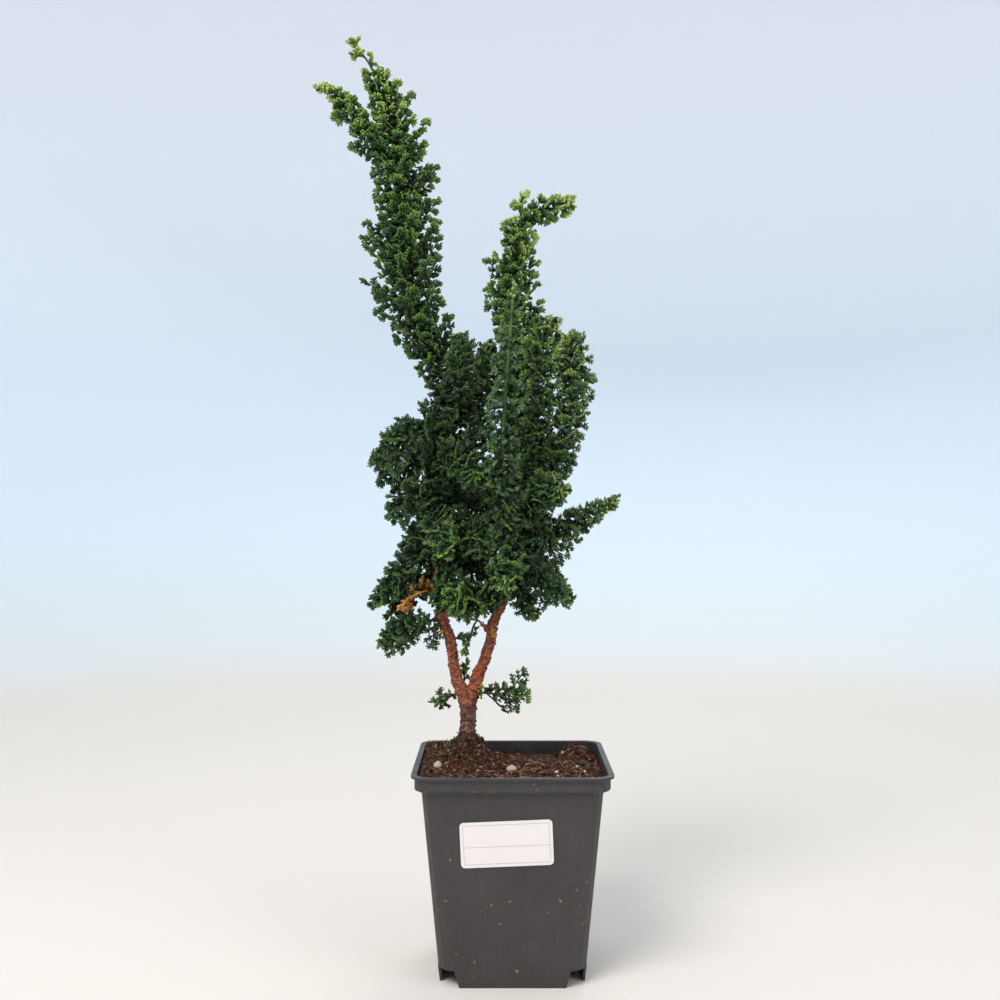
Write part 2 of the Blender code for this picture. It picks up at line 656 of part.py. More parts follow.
def make_soil(parts, helpers):
    side = WALL + FIT_GAP
    floor = FOOT_HEIGHT + FLOOR_THICKNESS + FIT_GAP
    edge = BAND_BOTTOM - 1.2 * MM
    rings = [
        rounded_square(wall_half(floor) - side, CORNER_BOTTOM - WALL, floor),
        rounded_square(wall_half(edge) - side, CORNER_TOP - WALL, edge),
    ]
    rim = wall_half(edge) - side - 0.2 * MM
    for i in range(SOIL_RINGS):
        share = 1 - i / SOIL_RINGS
        ring = rounded_square(rim * share, (CORNER_TOP - WALL) * share, 0.0)
        for point in ring:
            point.z = max(soil_height(point.x, point.y), edge + 0.5 * MM)
        rings.append(ring)
    bm = bmesh.new()
    loft(rings, bm)
    soil = mesh_object("soil", bm, parts)
    grit = new_collection("grit")
    rng = random.Random(8)
    for _ in range(GRIT_COUNT):
        x = POT_CENTRE.x + rng.uniform(-0.8, 0.8) * rim
        y = POT_CENTRE.y + rng.uniform(-0.85, 0.6) * rim
        if math.hypot(x, y) < 2.2 * HOLE_RADIUS:
            continue
        radius = GRIT_RADIUS * rng.uniform(0.9, 1.4)
        bm = bmesh.new()
        bmesh.ops.create_icosphere(bm, subdivisions=1, radius=radius)
        bmesh.ops.translate(bm, verts=bm.verts, vec=(x, y, soil_height(x, y) - 0.1 * radius))
        mesh_object("grain", bm, grit)
    join_all(soil, grit)
    foot = WOOD["left"][0][1] * MM - FIT_GAP
    cut(soil, [upright("hole", Vector((0.4 * MM, 0, 0)), HOLE_RADIUS, foot, foot + 3 * HOLE_DEPTH,
                       helpers)])
    return finish(soil, material("potting_soil", SOIL_BROWN, 0.95))


# Wood


def wood_points(name):
    route = [in_space(x, z, y) for x, z, y, _ in WOOD[name]]
    return route, [row[3] * MM for row in WOOD[name]]


def make_trunk(parts, space):
    trunk = None
    limbs = new_collection("limbs")
    for name in WOOD:
        route, radii = wood_points(name)
        sides = 2 if name in ("left", "right") else 1
        limb = tube("limb_" + name, route, radii, limbs, sides)
        space.add_rod(route, radii, "trunk")
        if trunk is None:
            trunk = limb
            limbs.objects.unlink(limb)
            parts.objects.link(limb)
    trunk.name = "trunk"
    join_all(trunk, limbs)
    return finish(trunk, material("bark", BARK_BROWN, 0.8))


# Leafy stems


class LeafyStem:
    """A stem's route from the wood to its tip, its slim core, and its twigs by rule."""

    def __init__(self, name, route, reach, on="trunk", droop=0.0, dead=False):
        self.name, self.reach, self.carrier = name, reach, on
        self.droop, self.dead = droop, dead
        self.given = [in_space(x, z, y) for x, z, y in route]

    def draw(self, fine):
        self.fine = fine
        self.length = sum((b - a).length for a, b in zip(fine, fine[1:]))

    def start_on_carrier(self, space):
        """Starts the stem where the flat end of its core just clears what it grows from."""
        root = space.axis_point(self.given[0], self.carrier)
        fine = smooth_route([root, *self.given], FINE_SPACING)
        first = 0
        wanted = CLEARANCE * (1.2 if self.carrier == "trunk" else 0.5)
        while self.end_gap(fine[first], fine[first + 1], space) < wanted:
            first += 1
        self.draw(fine[first:])

    def end_gap(self, point, further, space):
        """The gap from the core's flat end, at this point, to everything else."""
        direction = (further - point).normalized()
        across = direction.orthogonal().normalized() * CORE_LEAST
        gaps = []
        for step in range(4):
            turned = across.copy()
            turned.rotate(Quaternion(direction, step * math.pi / 4))
            gaps.append(space.gap(point - turned, point + turned, self.name))
        return min(gaps)

    def at(self, share):
        """Point and direction this share of the way along."""
        place = share * (len(self.fine) - 1)
        low = min(int(place), len(self.fine) - 2)
        a, b = self.fine[low], self.fine[low + 1]
        ahead = self.fine[min(low + 8, len(self.fine) - 1)]
        behind = self.fine[max(low - 8, 0)]
        return a + (b - a) * (place - low), (ahead - behind).normalized()

    def core_shares(self):
        count = max(5, round(self.length / CORE_SPACING) + 1)
        return [i / (count - 1) for i in range(count)]

    def settle_core(self, space):
        """Radius of the core at each station: a share of the reach, less where others are."""
        self.core = []
        shares = self.core_shares()
        for i, share in enumerate(shares):
            point, direction = self.at(share)
            wanted = CORE_SHARE * min(blend_along(self.reach, share)) * MM
            if i == 0:
                wanted = CORE_LEAST
            if i == len(shares) - 1:
                wanted = TIP_RADIUS
            step = direction * CORE_SPACING * 0.5
            room = space.gap(point - step * (i > 0), point + step * (i < len(shares) - 1),
                             self.name)
            self.core.append((point, max(CORE_LEAST, min(wanted, room * 0.8 - CLEARANCE))))

    def take_core(self, space):
        points, radii = zip(*self.core)
        space.add_rod(points, radii, self.name)

    def twig(self, number, count):
        """Start, end and side direction of a twig, each a golden angle on from the last."""
        rng = random.Random(f"{self.name} {number}")
        share = (number + 0.5) / count
        turn = number * GOLDEN_ANGLE + rng.uniform(-0.25, 0.25)
        point, direction = self.at(share)
        left, front = hands(direction)
        to_left, to_right, to_front, to_back = blend_along(self.reach, share)
        wide = to_left if math.cos(turn) > 0 else to_right
        deep = to_front if math.sin(turn) > 0 else to_back
        reach = MM / math.hypot(math.cos(turn) / wide, math.sin(turn) / deep)
        reach *= rng.uniform(0.84, 1.0)
        outward = left * math.cos(turn) + front * math.sin(turn)
        along = direction * (TWIG_LEAN + rng.uniform(-0.15, 0.2)) * (1 - self.droop)
        along += Vector((0, 0, -self.droop * 0.6 + rng.uniform(-0.1, 0.1)))
        end = point + (outward + along) * reach
        round_stem = (end - point).cross(direction).normalized()
        with_stem = round_stem.cross(end - point).normalized()
        sideways = abs(math.cos(turn))
        roll = math.radians(rng.uniform(0, 45) + 45 * sideways) * rng.choice((1, -1))
        across = round_stem * math.cos(roll) + with_stem * math.sin(roll)
        return point, end, across, rng

    def count(self):
        return max(3, int(self.length / TWIG_STEP))


def spray_lobes(stem, number, count):
    """A twig by rule: its start and end, the way it spreads, and its lobes.

    Each pair of lobes is (place along the twig, tip to one side, tip to the other side).
    """
    start, end, across, rng = stem.twig(number, count)
    length = max((end - start).length, TWIG_SHORTEST)
    direction = (end - start).normalized()
    end = start + direction * length
    pairs = min(LOBE_PAIRS, max(1, round((length - 4 * MM) / LOBE_SPACING)))
    spacing = min(LOBE_SPACING, (length - 2 * MM) / (pairs + 0.6))
    made = []
    for i in range(pairs):
        place = length - spacing * (0.9 + pairs - 1 - i)
        tips = []
        for side in (1, -1):
            size = LOBE_LENGTH * rng.uniform(0.8, 1.05) * (0.75 if i == pairs - 1 else 1.0)
            angle = LOBE_ANGLE * rng.uniform(0.85, 1.15)
            heading = direction * math.cos(angle) + across * side * math.sin(angle)
            tips.append(start + direction * place + heading * min(size, length * 0.6))
        made.append((place, *tips))
    return start, end, across, made


def spray(start, end, across, lobes, collection):
    """A flat spray: a twig of diamond section, lobed on both sides and thickest along its rib."""
    bm = bmesh.new()
    direction = (end - start).normalized()
    normal = direction.cross(across)
    length = (end - start).length
    half = min(NOTCH_HALF, 0.16 * length)
    places = [0.0, *(place for place, _, _ in lobes)]
    tip = bm.verts.new(end)
    ribs = [
        [
            bm.verts.new(start + direction * place
                         + normal * up * RIB_THICKNESS * (1 - 0.45 * place / length))
            for place in places
        ]
        for up in (1, -1)
    ]
    sides = []
    for hand, side in ((1, 1), (2, -1)):
        edge = across * side * half
        root = bm.verts.new(start + edge)
        rows = []
        for place, *tips in lobes:
            notch = start + direction * (place - min(NOTCH_BACK, 0.5 * place)) + edge
            lobe = tips[hand - 1]
            heading = lobe - start - direction * place
            blunt = normal.cross(heading) * side * min(LOBE_BLUNT / heading.length, 0.25)
            rows.append([bm.verts.new(co) for co in (notch, lobe + blunt, lobe - blunt)])
        neck = start + direction * (places[-1] + 0.45 * (length - places[-1])) + edge * 0.8
        sides.append((root, rows, bm.verts.new(neck)))
    for rib in ribs:
        for root, rows, last in sides:
            bm.faces.new((rib[0], root, rows[0][0], rib[1]))
            for i, row in enumerate(rows):
                further = rows[i + 1][0] if i + 1 < len(rows) else last
                for a, b in zip(row, [*row[1:], further]):
                    bm.faces.new((rib[i + 1], a, b))
                if i + 1 < len(rows):
                    bm.faces.new((rib[i + 1], further, rib[i + 2]))
            bm.faces.new((rib[-1], last, tip))
    bm.faces.new((ribs[0][0], sides[0][0], ribs[1][0], sides[1][0]))
    return mesh_object("spray", bm, collection)


def with_room(start, tip, radius, owner, space):
    """The tip, drawn in where others are near, or None where there is no room."""
    for share in (1.0, 0.85, 0.7, 0.55):
        end = start + (tip - start) * share
        if space.gap(start, end, owner) > radius + CLEARANCE:
            return end
    return None


def fitted_spray(stem, number, count, space):
    """The spray of this number, shortened where others are near, or None without room."""
    start, end, across, lobes = spray_lobes(stem, number, count)
    length = (end - start).length
    end = with_room(start, end, RIB_THICKNESS * 1.1, stem.name, space)
    if end is None:
        return None
    share = (end - start).length / length
    direction = (end - start).normalized()
    fitted = []
    for place, *tips in lobes:
        root = start + direction * place * share
        kept = []
        for side, tip in zip((1, -1), tips):
            tip = root + (tip - start - direction * place) * share
            tip = with_room(root, tip, LOBE_THICKNESS, stem.name, space)
            bump = min(NOTCH_HALF, 0.16 * (end - start).length)
            kept.append(tip or root + (across * side + direction * 0.5) * bump)
        fitted.append((place * share, *kept))
    return start, end, across, fitted


def make_leafy_stem(stem, parts, space, looks):
    """The core and every spray that has room, joined in one solid."""
    points = [point for point, _ in stem.core]
    radii = [radius for _, radius in stem.core]
    body = tube(stem.name, points, radii, parts, 0)
    pieces = new_collection("sprays")
    count = stem.count()
    made = 0
    for number in range(TWIG_EVERY // 2, count, TWIG_EVERY):
        fitted = fitted_spray(stem, number, count, space)
        if fitted is None:
            continue
        start, end, across, lobes = fitted
        made += 1
        spray(start, end, across, lobes, pieces)
        space.add(start, end, RIB_THICKNESS * 1.1, stem.name)
        direction = (end - start).normalized()
        for place, *tips in lobes:
            for tip in tips:
                space.add(start + direction * place, tip, LOBE_THICKNESS, stem.name)
    join_all(body, pieces)
    return finish(body, looks[stem.dead]), made


def make_foliage(parts, space):
    looks = {
        False: material("leaf", LEAF_GREEN, 0.55),
        True: material("dead_leaf", DEAD_OCHRE, 0.8),
    }
    stems = [LeafyStem(name, **row) for name, row in LEAFY_STEMS.items()]
    for stem in stems:
        stem.draw(smooth_route(stem.given, FINE_SPACING))
        shares = [share for share in stem.core_shares() if share * stem.length > ROOT_ROOM]
        for share, further in zip(shares, shares[1:]):
            space.add(stem.at(share)[0], stem.at(further)[0], CORE_LEAST, stem.name)
    for stem in stems:
        stem.start_on_carrier(space)
        stem.settle_core(space)
        space.drop(stem.name)
        stem.take_core(space)
    return [make_leafy_stem(stem, parts, space, looks) for stem in stems]


def main():
    clear_scene()
    parts = new_collection("hinoki_cypress_bonsai")
    helpers = new_collection("cutters")
    space = TakenSpace()
    make_pot(parts, helpers)
    make_label(parts)
    make_soil(parts, helpers)
    make_trunk(parts, space)
    made = make_foliage(parts, space)
    bpy.data.collections.remove(helpers)
    for obj, shapes in made:
        print(obj.name, shapes, "sprays", len(obj.data.polygons), "faces")


main()
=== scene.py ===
"""Looks of the hinoki cypress bonsai: fine foliage, bark, soil, pot and label."""

import math
import random

import bmesh
import bpy
import numpy as np
from mathutils import Euler, Matrix, Vector, noise


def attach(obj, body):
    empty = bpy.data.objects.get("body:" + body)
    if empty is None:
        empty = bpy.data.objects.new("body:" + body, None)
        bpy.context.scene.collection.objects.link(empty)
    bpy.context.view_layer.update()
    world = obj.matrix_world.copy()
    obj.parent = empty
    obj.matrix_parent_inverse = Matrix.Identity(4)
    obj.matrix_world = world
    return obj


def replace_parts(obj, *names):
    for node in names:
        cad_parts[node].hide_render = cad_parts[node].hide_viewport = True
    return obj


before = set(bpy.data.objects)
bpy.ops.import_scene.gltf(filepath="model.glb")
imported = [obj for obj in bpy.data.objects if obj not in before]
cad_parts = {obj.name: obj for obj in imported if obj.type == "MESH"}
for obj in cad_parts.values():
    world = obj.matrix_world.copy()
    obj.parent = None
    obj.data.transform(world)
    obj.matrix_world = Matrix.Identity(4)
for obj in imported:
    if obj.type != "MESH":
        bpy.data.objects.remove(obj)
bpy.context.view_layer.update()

MM = 0.001

# Pot and soil sizes, as in the CAD
POT_CENTRE = Vector((26.2, -15.0, 0.0)) * MM
FOOT_HEIGHT = 9.2 * MM
BAND_BOTTOM = 108.5 * MM
BAND_HALF = 53.2 * MM
WALL = 1.2 * MM
FLOOR_THICKNESS = 1.5 * MM
WALL_TOP_HALF = 49.7 * MM
WALL_BOTTOM_HALF = 40.9 * MM
CORNER = 9 * MM
FIT_GAP = 0.3 * MM
SOIL_LEVEL = 110.5 * MM
SOIL_ROUGHNESS = 1.1 * MM
LABEL_SIZE = (50 * MM, 25 * MM)
LABEL_THICKNESS = 0.4 * MM
LABEL_PLACE = (-3.2 * MM, 80.5 * MM)
LABEL_TURN = math.radians(2.4)
HEAPS = (
    (1 * MM, -2 * MM, 17 * MM, 13 * MM),
    (61 * MM, 22 * MM, 8 * MM, 9 * MM),
    (-13 * MM, 20 * MM, 6 * MM, 14 * MM),
    (48 * MM, 20 * MM, -4.5 * MM, 14 * MM),
)

# Smooth routes have points this far apart
CURVE_SPACING = 0.5 * MM

# Stems, in millimetres: (x, height, depth behind the trunk), as seen in the plane of the
# trunk from the eye point, and the radius there
EYE = Vector((19.4, -745.0, 263.2)) * MM
WOOD = {
    "left": [
        (0.5, 103, 0, 6.1), (0.3, 118, 0, 6.0), (0.2, 127, 0, 5.3), (0.6, 136, 0, 4.6),
        (0.8, 144, 0, 4.9), (-1.6, 151, 0, 4.6), (-6.0, 160, 1, 3.5), (-7.8, 171, 1, 3.2),
        (-9.6, 183, 2, 3.2), (-13.0, 192, 2, 3.3), (-15.6, 205, 3, 2.7), (-18.2, 221, 4, 3.2),
        (-19.4, 236, 5, 2.9), (-18.6, 252, 6, 2.6), (-15.9, 277, 7, 2.3), (-12.9, 301, 7, 2.0),
        (-11.9, 322, 6, 1.7), (-14.0, 334, 5, 0.9),
    ],
    "right": [
        (0.8, 142, 0, 3.8), (3.4, 152, -1, 4.1), (6.6, 163, -2, 3.5), (10.0, 171, -3, 3.2),
        (13.8, 183, -4, 3.2), (15.2, 193, -5, 3.0), (19.4, 202, -5, 2.8), (23.4, 211, -5, 2.7),
        (26.6, 221, -4, 2.6), (28.0, 238, -2, 2.4), (27.2, 256, 2, 2.1), (27.6, 276, 8, 1.8),
        (29.0, 292, 13, 0.9),
    ],
    "left_stub": [(-12.0, 191, 2, 2.4), (-16.0, 196, 1, 2.2), (-18.6, 200, 0, 0.9)],
    "right_stub": [(14.6, 187, -4, 2.0), (11.4, 190, -4, 1.7), (8.6, 193, -4, 0.9)],
}

# Leafy stems, as in the CAD: the route from the wood to the tip, and how far the twigs stand
# out to the left hand, the right hand, the front and the back
LEAFY_STEMS = {
    "plume_left": dict(
        route=[
            (-14.4, 338, 5), (-18.5, 350, 4), (-27.0, 366, 2), (-33.0, 383, 1), (-36.5, 400, 1),
            (-38.2, 418, 2), (-38.0, 436, 3), (-38.6, 456, 3), (-41.5, 474, 2), (-46.0, 492, 1),
            (-51.5, 507, 0), (-56.5, 520, -1), (-62.5, 529, -2), (-68.5, 534, -2),
        ],
        reach=[(15, 15, 12, 12), (22, 25, 16, 16), (34, 26, 18, 18), (21, 28, 17, 18),
               (23, 24, 16, 16), (18, 26, 14, 14), (11, 21, 12, 12), (9, 8, 7, 7), (6, 4, 4, 4)],
    ),
    "plume_left_fork": dict(
        route=[(-47.5, 468, -5), (-56.0, 481, -7), (-64.0, 493, -8), (-73.5, 503, -8),
               (-84.0, 509, -8)],
        reach=[(14, 4, 8, 7), (18, 5, 10, 8), (16, 5, 8, 7), (8, 4, 6, 5), (4, 3, 4, 4)],
        on="plume_left",
    ),
    "shoot_front": dict(
        route=[(24.6, 240, -14), (22.6, 262, -26), (21.0, 285, -36), (21.4, 310, -42),
               (23.0, 335, -43), (25.2, 360, -42), (26.6, 380, -40), (27.6, 391, -39)],
        reach=[(12, 12, 12, 6), (15, 13, 12, 8), (15, 14, 12, 8), (14, 12, 11, 8),
               (14, 12, 10, 8), (12, 10, 9, 7), (9, 8, 8, 7), (5, 5, 5, 5)],
        droop=0.75,
    ),
    "leader_back": dict(
        route=[(29.4, 297, 16), (31.5, 316, 21), (32.0, 340, 23), (29.5, 362, 22),
               (26.5, 380, 20), (27.5, 398, 19), (29.5, 418, 18), (31.5, 434, 17),
               (32.0, 444, 16)],
        reach=[(10, 12, 14, 20), (14, 20, 14, 22), (17, 18, 14, 20), (14, 22, 13, 16),
               (18, 21, 12, 14), (18, 15, 10, 11), (10, 11, 9, 9), (5, 5, 4, 4)],
    ),
    "leader_back_side": dict(
        route=[(32.4, 428, 13), (41.0, 434, 11), (50.0, 437, 10), (60.5, 440, 9)],
        reach=[(6, 5, 6, 6), (10, 9, 7, 7), (9, 9, 7, 7), (4, 4, 4, 4)],
        on="leader_back",
    ),
    "leader_mid": dict(
        route=[(32.0, 262, -2), (37.6, 282, -8), (41.0, 306, -11), (42.0, 332, -11),
               (42.6, 352, -10), (46.5, 371, -9)],
        reach=[(9, 10, 14, 10), (12, 13, 16, 12), (12, 14, 14, 12), (10, 15, 11, 11),
               (14, 18, 11, 11), (10, 12, 8, 8)],
        droop=0.45,
    ),
    "leader_right": dict(
        route=[(32.2, 247, 2), (45.0, 266, -2), (54.0, 290, -6), (60.5, 316, -8),
               (63.5, 338, -8), (61.0, 361, -7)],
        reach=[(7, 8, 12, 12), (12, 10, 18, 16), (14, 11, 18, 18), (16, 12, 16, 16),
               (21, 14, 14, 14), (14, 11, 10, 10)],
        droop=0.25,
    ),
    "spray_left_mid": dict(
        route=[(-15.5, 304, 2), (-24.0, 310, -4), (-36.0, 305, -7), (-47.0, 296, -8),
               (-55.5, 288, -8)],
        reach=[(20, 18, 11, 10), (26, 14, 13, 12), (22, 9, 12, 12), (13, 5, 9, 9), (5, 3, 4, 4)],
    ),
    "spray_left_inner": dict(
        route=[(-19.4, 268, 2), (-29.0, 268, -6), (-37.5, 263, -9), (-44.5, 256, -9)],
        reach=[(13, 14, 10, 9), (16, 15, 12, 11), (12, 9, 9, 9), (4, 4, 4, 4)],
    ),
    "spray_left_low": dict(
        route=[(-22.0, 239, 3), (-32.0, 234, -1), (-43.0, 221, -3), (-55.5, 205, -4)],
        reach=[(18, 11, 12, 10), (19, 8, 14, 12), (12, 5, 11, 10), (4, 3, 4, 4)],
    ),
    "spray_left_lowest": dict(
        route=[(-22.0, 194, -1), (-30.0, 192, -2), (-40.0, 188, -4), (-50.5, 181, -5)],
        reach=[(16, 12, 9, 8), (18, 14, 12, 12), (12, 9, 11, 10), (4, 3, 4, 4)],
    ),
    "spray_left_front": dict(
        route=[(-15.0, 224, -5), (-12.5, 221, -13), (-10.0, 217, -21)],
        reach=[(8, 8, 7, 7), (11, 10, 8, 8), (5, 5, 4, 4)],
    ),
    "spray_centre_front": dict(
        route=[(19.0, 206, -8), (13.0, 208, -20), (5.0, 207, -32), (-6.0, 204, -42)],
        reach=[(8, 10, 8, 8), (13, 17, 12, 12), (13, 18, 12, 12), (6, 11, 6, 6)],
    ),
    "spray_centre": dict(
        route=[(-13.5, 283, 2), (-6.0, 288, -12), (0.0, 286, -26), (6.0, 279, -38)],
        reach=[(14, 9, 9, 9), (23, 14, 13, 13), (22, 13, 12, 12), (8, 5, 5, 5)],
    ),
    "spray_centre_low": dict(
        route=[(-16.0, 244, 3), (-6.0, 248, -5), (3.0, 244, -14), (10.0, 236, -24)],
        reach=[(12, 9, 8, 8), (19, 13, 12, 12), (17, 12, 11, 11), (6, 5, 5, 5)],
    ),
    "spray_centre_top": dict(
        route=[(-9.5, 320, 2), (-5.0, 334, -4), (-3.0, 349, -7), (-3.5, 361, -8)],
        reach=[(8, 11, 10, 10), (12, 14, 14, 12), (10, 11, 10, 10), (5, 5, 5, 5)],
    ),
    "spray_centre_right_top": dict(
        route=[(-9.5, 310, 8), (1.0, 320, 10), (8.5, 337, 10), (12.0, 356, 8)],
        reach=[(8, 20, 8, 10), (12, 22, 14, 14), (11, 13, 12, 12), (5, 5, 5, 5)],
    ),
    "spray_right": dict(
        route=[(31.0, 236, -3), (46.0, 241, -8), (61.0, 250, -12), (75.0, 259, -13),
               (87.0, 264, -13)],
        reach=[(8, 9, 8, 8), (12, 16, 12, 12), (11, 11, 10, 10), (7, 6, 6, 6), (5, 4, 4, 4)],
    ),
    "spray_right_low": dict(
        route=[(29.5, 225, -4), (40.0, 221, -10), (50.0, 214, -13), (59.0, 206, -14)],
        reach=[(8, 19, 8, 8), (11, 16, 12, 11), (10, 9, 10, 9), (4, 4, 4, 4)],
    ),
    "spray_right_front": dict(
        route=[(26.0, 226, -10), (25.0, 228, -24), (23.5, 224, -36), (24.0, 215, -46)],
        reach=[(8, 8, 8, 8), (13, 13, 12, 12), (12, 12, 11, 11), (4, 4, 4, 4)],
    ),
    "spray_right_high": dict(
        route=[(33.0, 256, -8), (42.0, 268, -22), (50.0, 272, -33), (57.0, 270, -40)],
        reach=[(9, 9, 8, 8), (13, 13, 12, 12), (12, 12, 11, 11), (4, 4, 4, 4)],
    ),
    "spray_back_left": dict(
        route=[(-19.0, 248, 12), (-22.0, 250, 26), (-26.0, 244, 42), (-28.0, 236, 56)],
        reach=[(10, 10, 9, 9), (16, 16, 14, 14), (14, 14, 12, 12), (4, 4, 4, 4)],
    ),
    "spray_back_left_high": dict(
        route=[(-16.0, 284, 12), (-20.0, 294, 26), (-24.0, 297, 40), (-27.0, 294, 53)],
        reach=[(10, 10, 9, 9), (16, 16, 14, 14), (14, 14, 12, 12), (4, 4, 4, 4)],
    ),
    "spray_back_centre": dict(
        route=[(-15.0, 268, 12), (-6.0, 274, 27), (1.0, 276, 45), (5.0, 270, 66)],
        reach=[(12, 12, 9, 9), (22, 20, 14, 14), (18, 16, 12, 12), (4, 4, 4, 4)],
    ),
    "spray_back_centre_low": dict(
        route=[(-15.0, 228, 9), (-6.0, 234, 20), (2.0, 234, 35), (8.0, 226, 50)],
        reach=[(9, 14, 9, 9), (15, 18, 13, 13), (13, 14, 12, 12), (4, 4, 4, 4)],
    ),
    "spray_back_right": dict(
        route=[(29.5, 246, 5), (33.0, 252, 23), (36.0, 252, 42), (38.0, 244, 62)],
        reach=[(10, 10, 9, 9), (16, 16, 14, 14), (15, 15, 12, 12), (4, 4, 4, 4)],
    ),
    "spray_back_right_low": dict(
        route=[(28.5, 226, 1), (36.0, 228, 14), (46.0, 224, 26), (53.0, 214, 36)],
        reach=[(9, 9, 8, 8), (13, 13, 12, 12), (12, 12, 11, 11), (4, 4, 4, 4)],
    ),
    "spray_back_right_high": dict(
        route=[(30.5, 272, 12), (38.0, 284, 26), (44.0, 292, 38), (48.0, 293, 50)],
        reach=[(10, 10, 9, 9), (16, 16, 14, 14), (14, 14, 12, 12), (4, 4, 4, 4)],
    ),
    "spray_right_under": dict(
        route=[(30.0, 216, 0), (33.0, 210, -4), (36.0, 203, -7), (38.5, 197, -9)],
        reach=[(8, 8, 7, 7), (10, 10, 8, 8), (8, 8, 7, 7), (4, 4, 4, 4)],
    ),
    "spray_inner_centre": dict(
        route=[(-10.0, 292, 8), (-2.0, 298, 12), (6.0, 304, 14), (12.0, 308, 15)],
        reach=[(9, 9, 8, 8), (13, 14, 10, 10), (12, 13, 10, 10), (6, 6, 5, 5)],
    ),
    "twig_low_right": dict(
        route=[(6.0, 153, -6), (13.0, 152, -8), (22.0, 152, -9), (32.5, 154, -9)],
        reach=[(4, 9, 4, 4), (8, 17, 6, 6), (13, 9, 6, 6), (5, 5, 4, 4)],
    ),
    "twig_low_left": dict(
        route=[(-6.0, 152, 4), (-11.0, 150, 7), (-17.0, 146, 9)],
        reach=[(3, 5, 4, 4), (7, 7, 5, 5), (4, 4, 4, 4)],
    ),
    "twig_fork": dict(
        route=[(-2.0, 158, 5), (-1.5, 163, 8), (0.0, 170, 10)],
        reach=[(3, 3, 3, 3), (5, 5, 4, 4), (4, 4, 4, 4)],
    ),
    "twig_hanging": dict(
        route=[(6.2, 195, -4), (3.6, 191, -5), (1.5, 184, -5), (-2.0, 177, -5)],
        reach=[(2, 2, 2, 2), (3, 3, 3, 3), (4, 3, 3, 3), (3, 3, 3, 3)],
    ),
    "twig_behind": dict(
        route=[(-7.0, 184, 7), (-3.5, 186, 10), (1.0, 186, 12)],
        reach=[(3, 3, 3, 3), (6, 6, 5, 5), (4, 4, 4, 4)],
    ),
    "dead_twig_left": dict(
        route=[(-20.5, 212, 0), (-25.0, 212, -6), (-32.0, 209, -10), (-39.0, 203, -12)],
        reach=[(6, 9, 8, 5), (9, 8, 8, 5), (8, 5, 5, 4), (4, 4, 4, 4)],
        dead=True,
    ),
}

# Growth rule, as in the CAD, which grows every sixth twig: the scene grows each one
STEM_CLEARANCE = 0.3 * MM
TWIG_STEP = 1.45 * MM
TWIG_LEAN = 0.95
TWIG_SHORTEST = 4.5 * MM
GOLDEN_ANGLE = math.pi * (3 - math.sqrt(5))
LOBE_ANGLE = math.radians(50)

# Fine foliage: branchlets on each spray, and blunt scaly fingers on each branchlet
TWIG_RADII = (0.5 * MM, 0.3 * MM)
BARE_START = 1.6 * MM
BARE_END = 2 * MM
FIRST_BRANCHLET = 0.1
BRANCHLET_STEP = 2.4 * MM
BRANCHLET_SIZE = 7.0 * MM
CROWN_SIZE = 6.0 * MM
FINGER_WIDTH = 1.85 * MM
FINGER_THICKNESS = 1.6 * MM
FINGER_LENGTH = 3.7 * MM
FINGER_BEND = (-0.05, 0.2)
FINGER_SIDES = 4
FINGER_PROFILE = ((0.2, 0.92), (0.8, 0.84))
PAIR_SPACING = 3.0 * MM
MOST_PAIRS = 3
FORK_ANGLES = (math.radians(36), math.radians(54))
BUSHY_TURN = math.radians(60)
FLAT_TURN = math.radians(14)

# Round buds at the very tip of a stem
TIP_BUDS = 7
TIP_BUD_SPACING = 1.2 * MM
TIP_BUD_LENGTH = 3.6 * MM
TIP_BUD_WIDTH = 2.4 * MM

# Old leaves near the stems, painted dark as the shade inside the crown: where on a twig they start
# and end, how far apart they stand, and how long and wide they are
SHADE_FROM = 0.5 * MM
SHADE_STEP = 3.0 * MM
SHADE_FAR = 0.66
SHADE_LENGTH = 6.0 * MM
SHADE_WIDTH = 3.6 * MM
# Their tone, dark as painted shade
PAINTED_SHADE_TONE = -0.22

# The stems themselves: short ones are slimmer, and branchlets are further apart on long ones
STEM_RADIUS = 1.3 * MM
SHORT_STEM = 60 * MM
SHORT_STEM_SHARE = 0.75
THIN_TWIG_RADIUS = 0.7 * MM
STEM_TIP_RADIUS = 0.5 * MM
STEM_SIDES = 7
STEM_PART = 6
LONG_STEM = 80 * MM
LONG_STEM_STEP = 2.8 * MM

# How each leafy stem looks: share of young yellow-green growth, share of bluish bloom, how
# feathery its sprays are, and how much of the stem is woody
STEM_LOOKS = {
    "dead_twig_left": (0.3, 0.0, 1.0, 1.0),
    "plume_left": (0.5, 0.15, 0.0, 0.8),
    "plume_left_fork": (0.6, 0.1, 0.0, 0.0),
    "shoot_front": (0.42, 0.8, 1.0, 0.0),
    "leader_back": (0.52, 0.2, 0.3, 0.8),
    "leader_back_side": (0.65, 0.2, 0.3, 0.3),
    "leader_mid": (0.45, 0.5, 0.8, 1.0),
    "leader_right": (0.5, 0.8, 0.9, 0.6),
    "spray_right": (0.42, 0.9, 0.8, 0.4),
    "spray_right_high": (0.4, 0.7, 0.8, 0.4),
    "spray_right_front": (0.36, 0.5, 0.5, 0.4),
    "spray_centre_front": (0.25, 0.15, 0.4, 0.4),
}
PLAIN_LOOK = (0.22, 0.5, 0.75, 0.6)

# Stems that show bare to the front, and how far round the twigs keep clear of it
BARE_FRONT = ("shoot_front",)
BARE_SHARE = 0.62
BARE_FROM = 0.3
BARE_TIP_RADIUS = 0.9 * MM

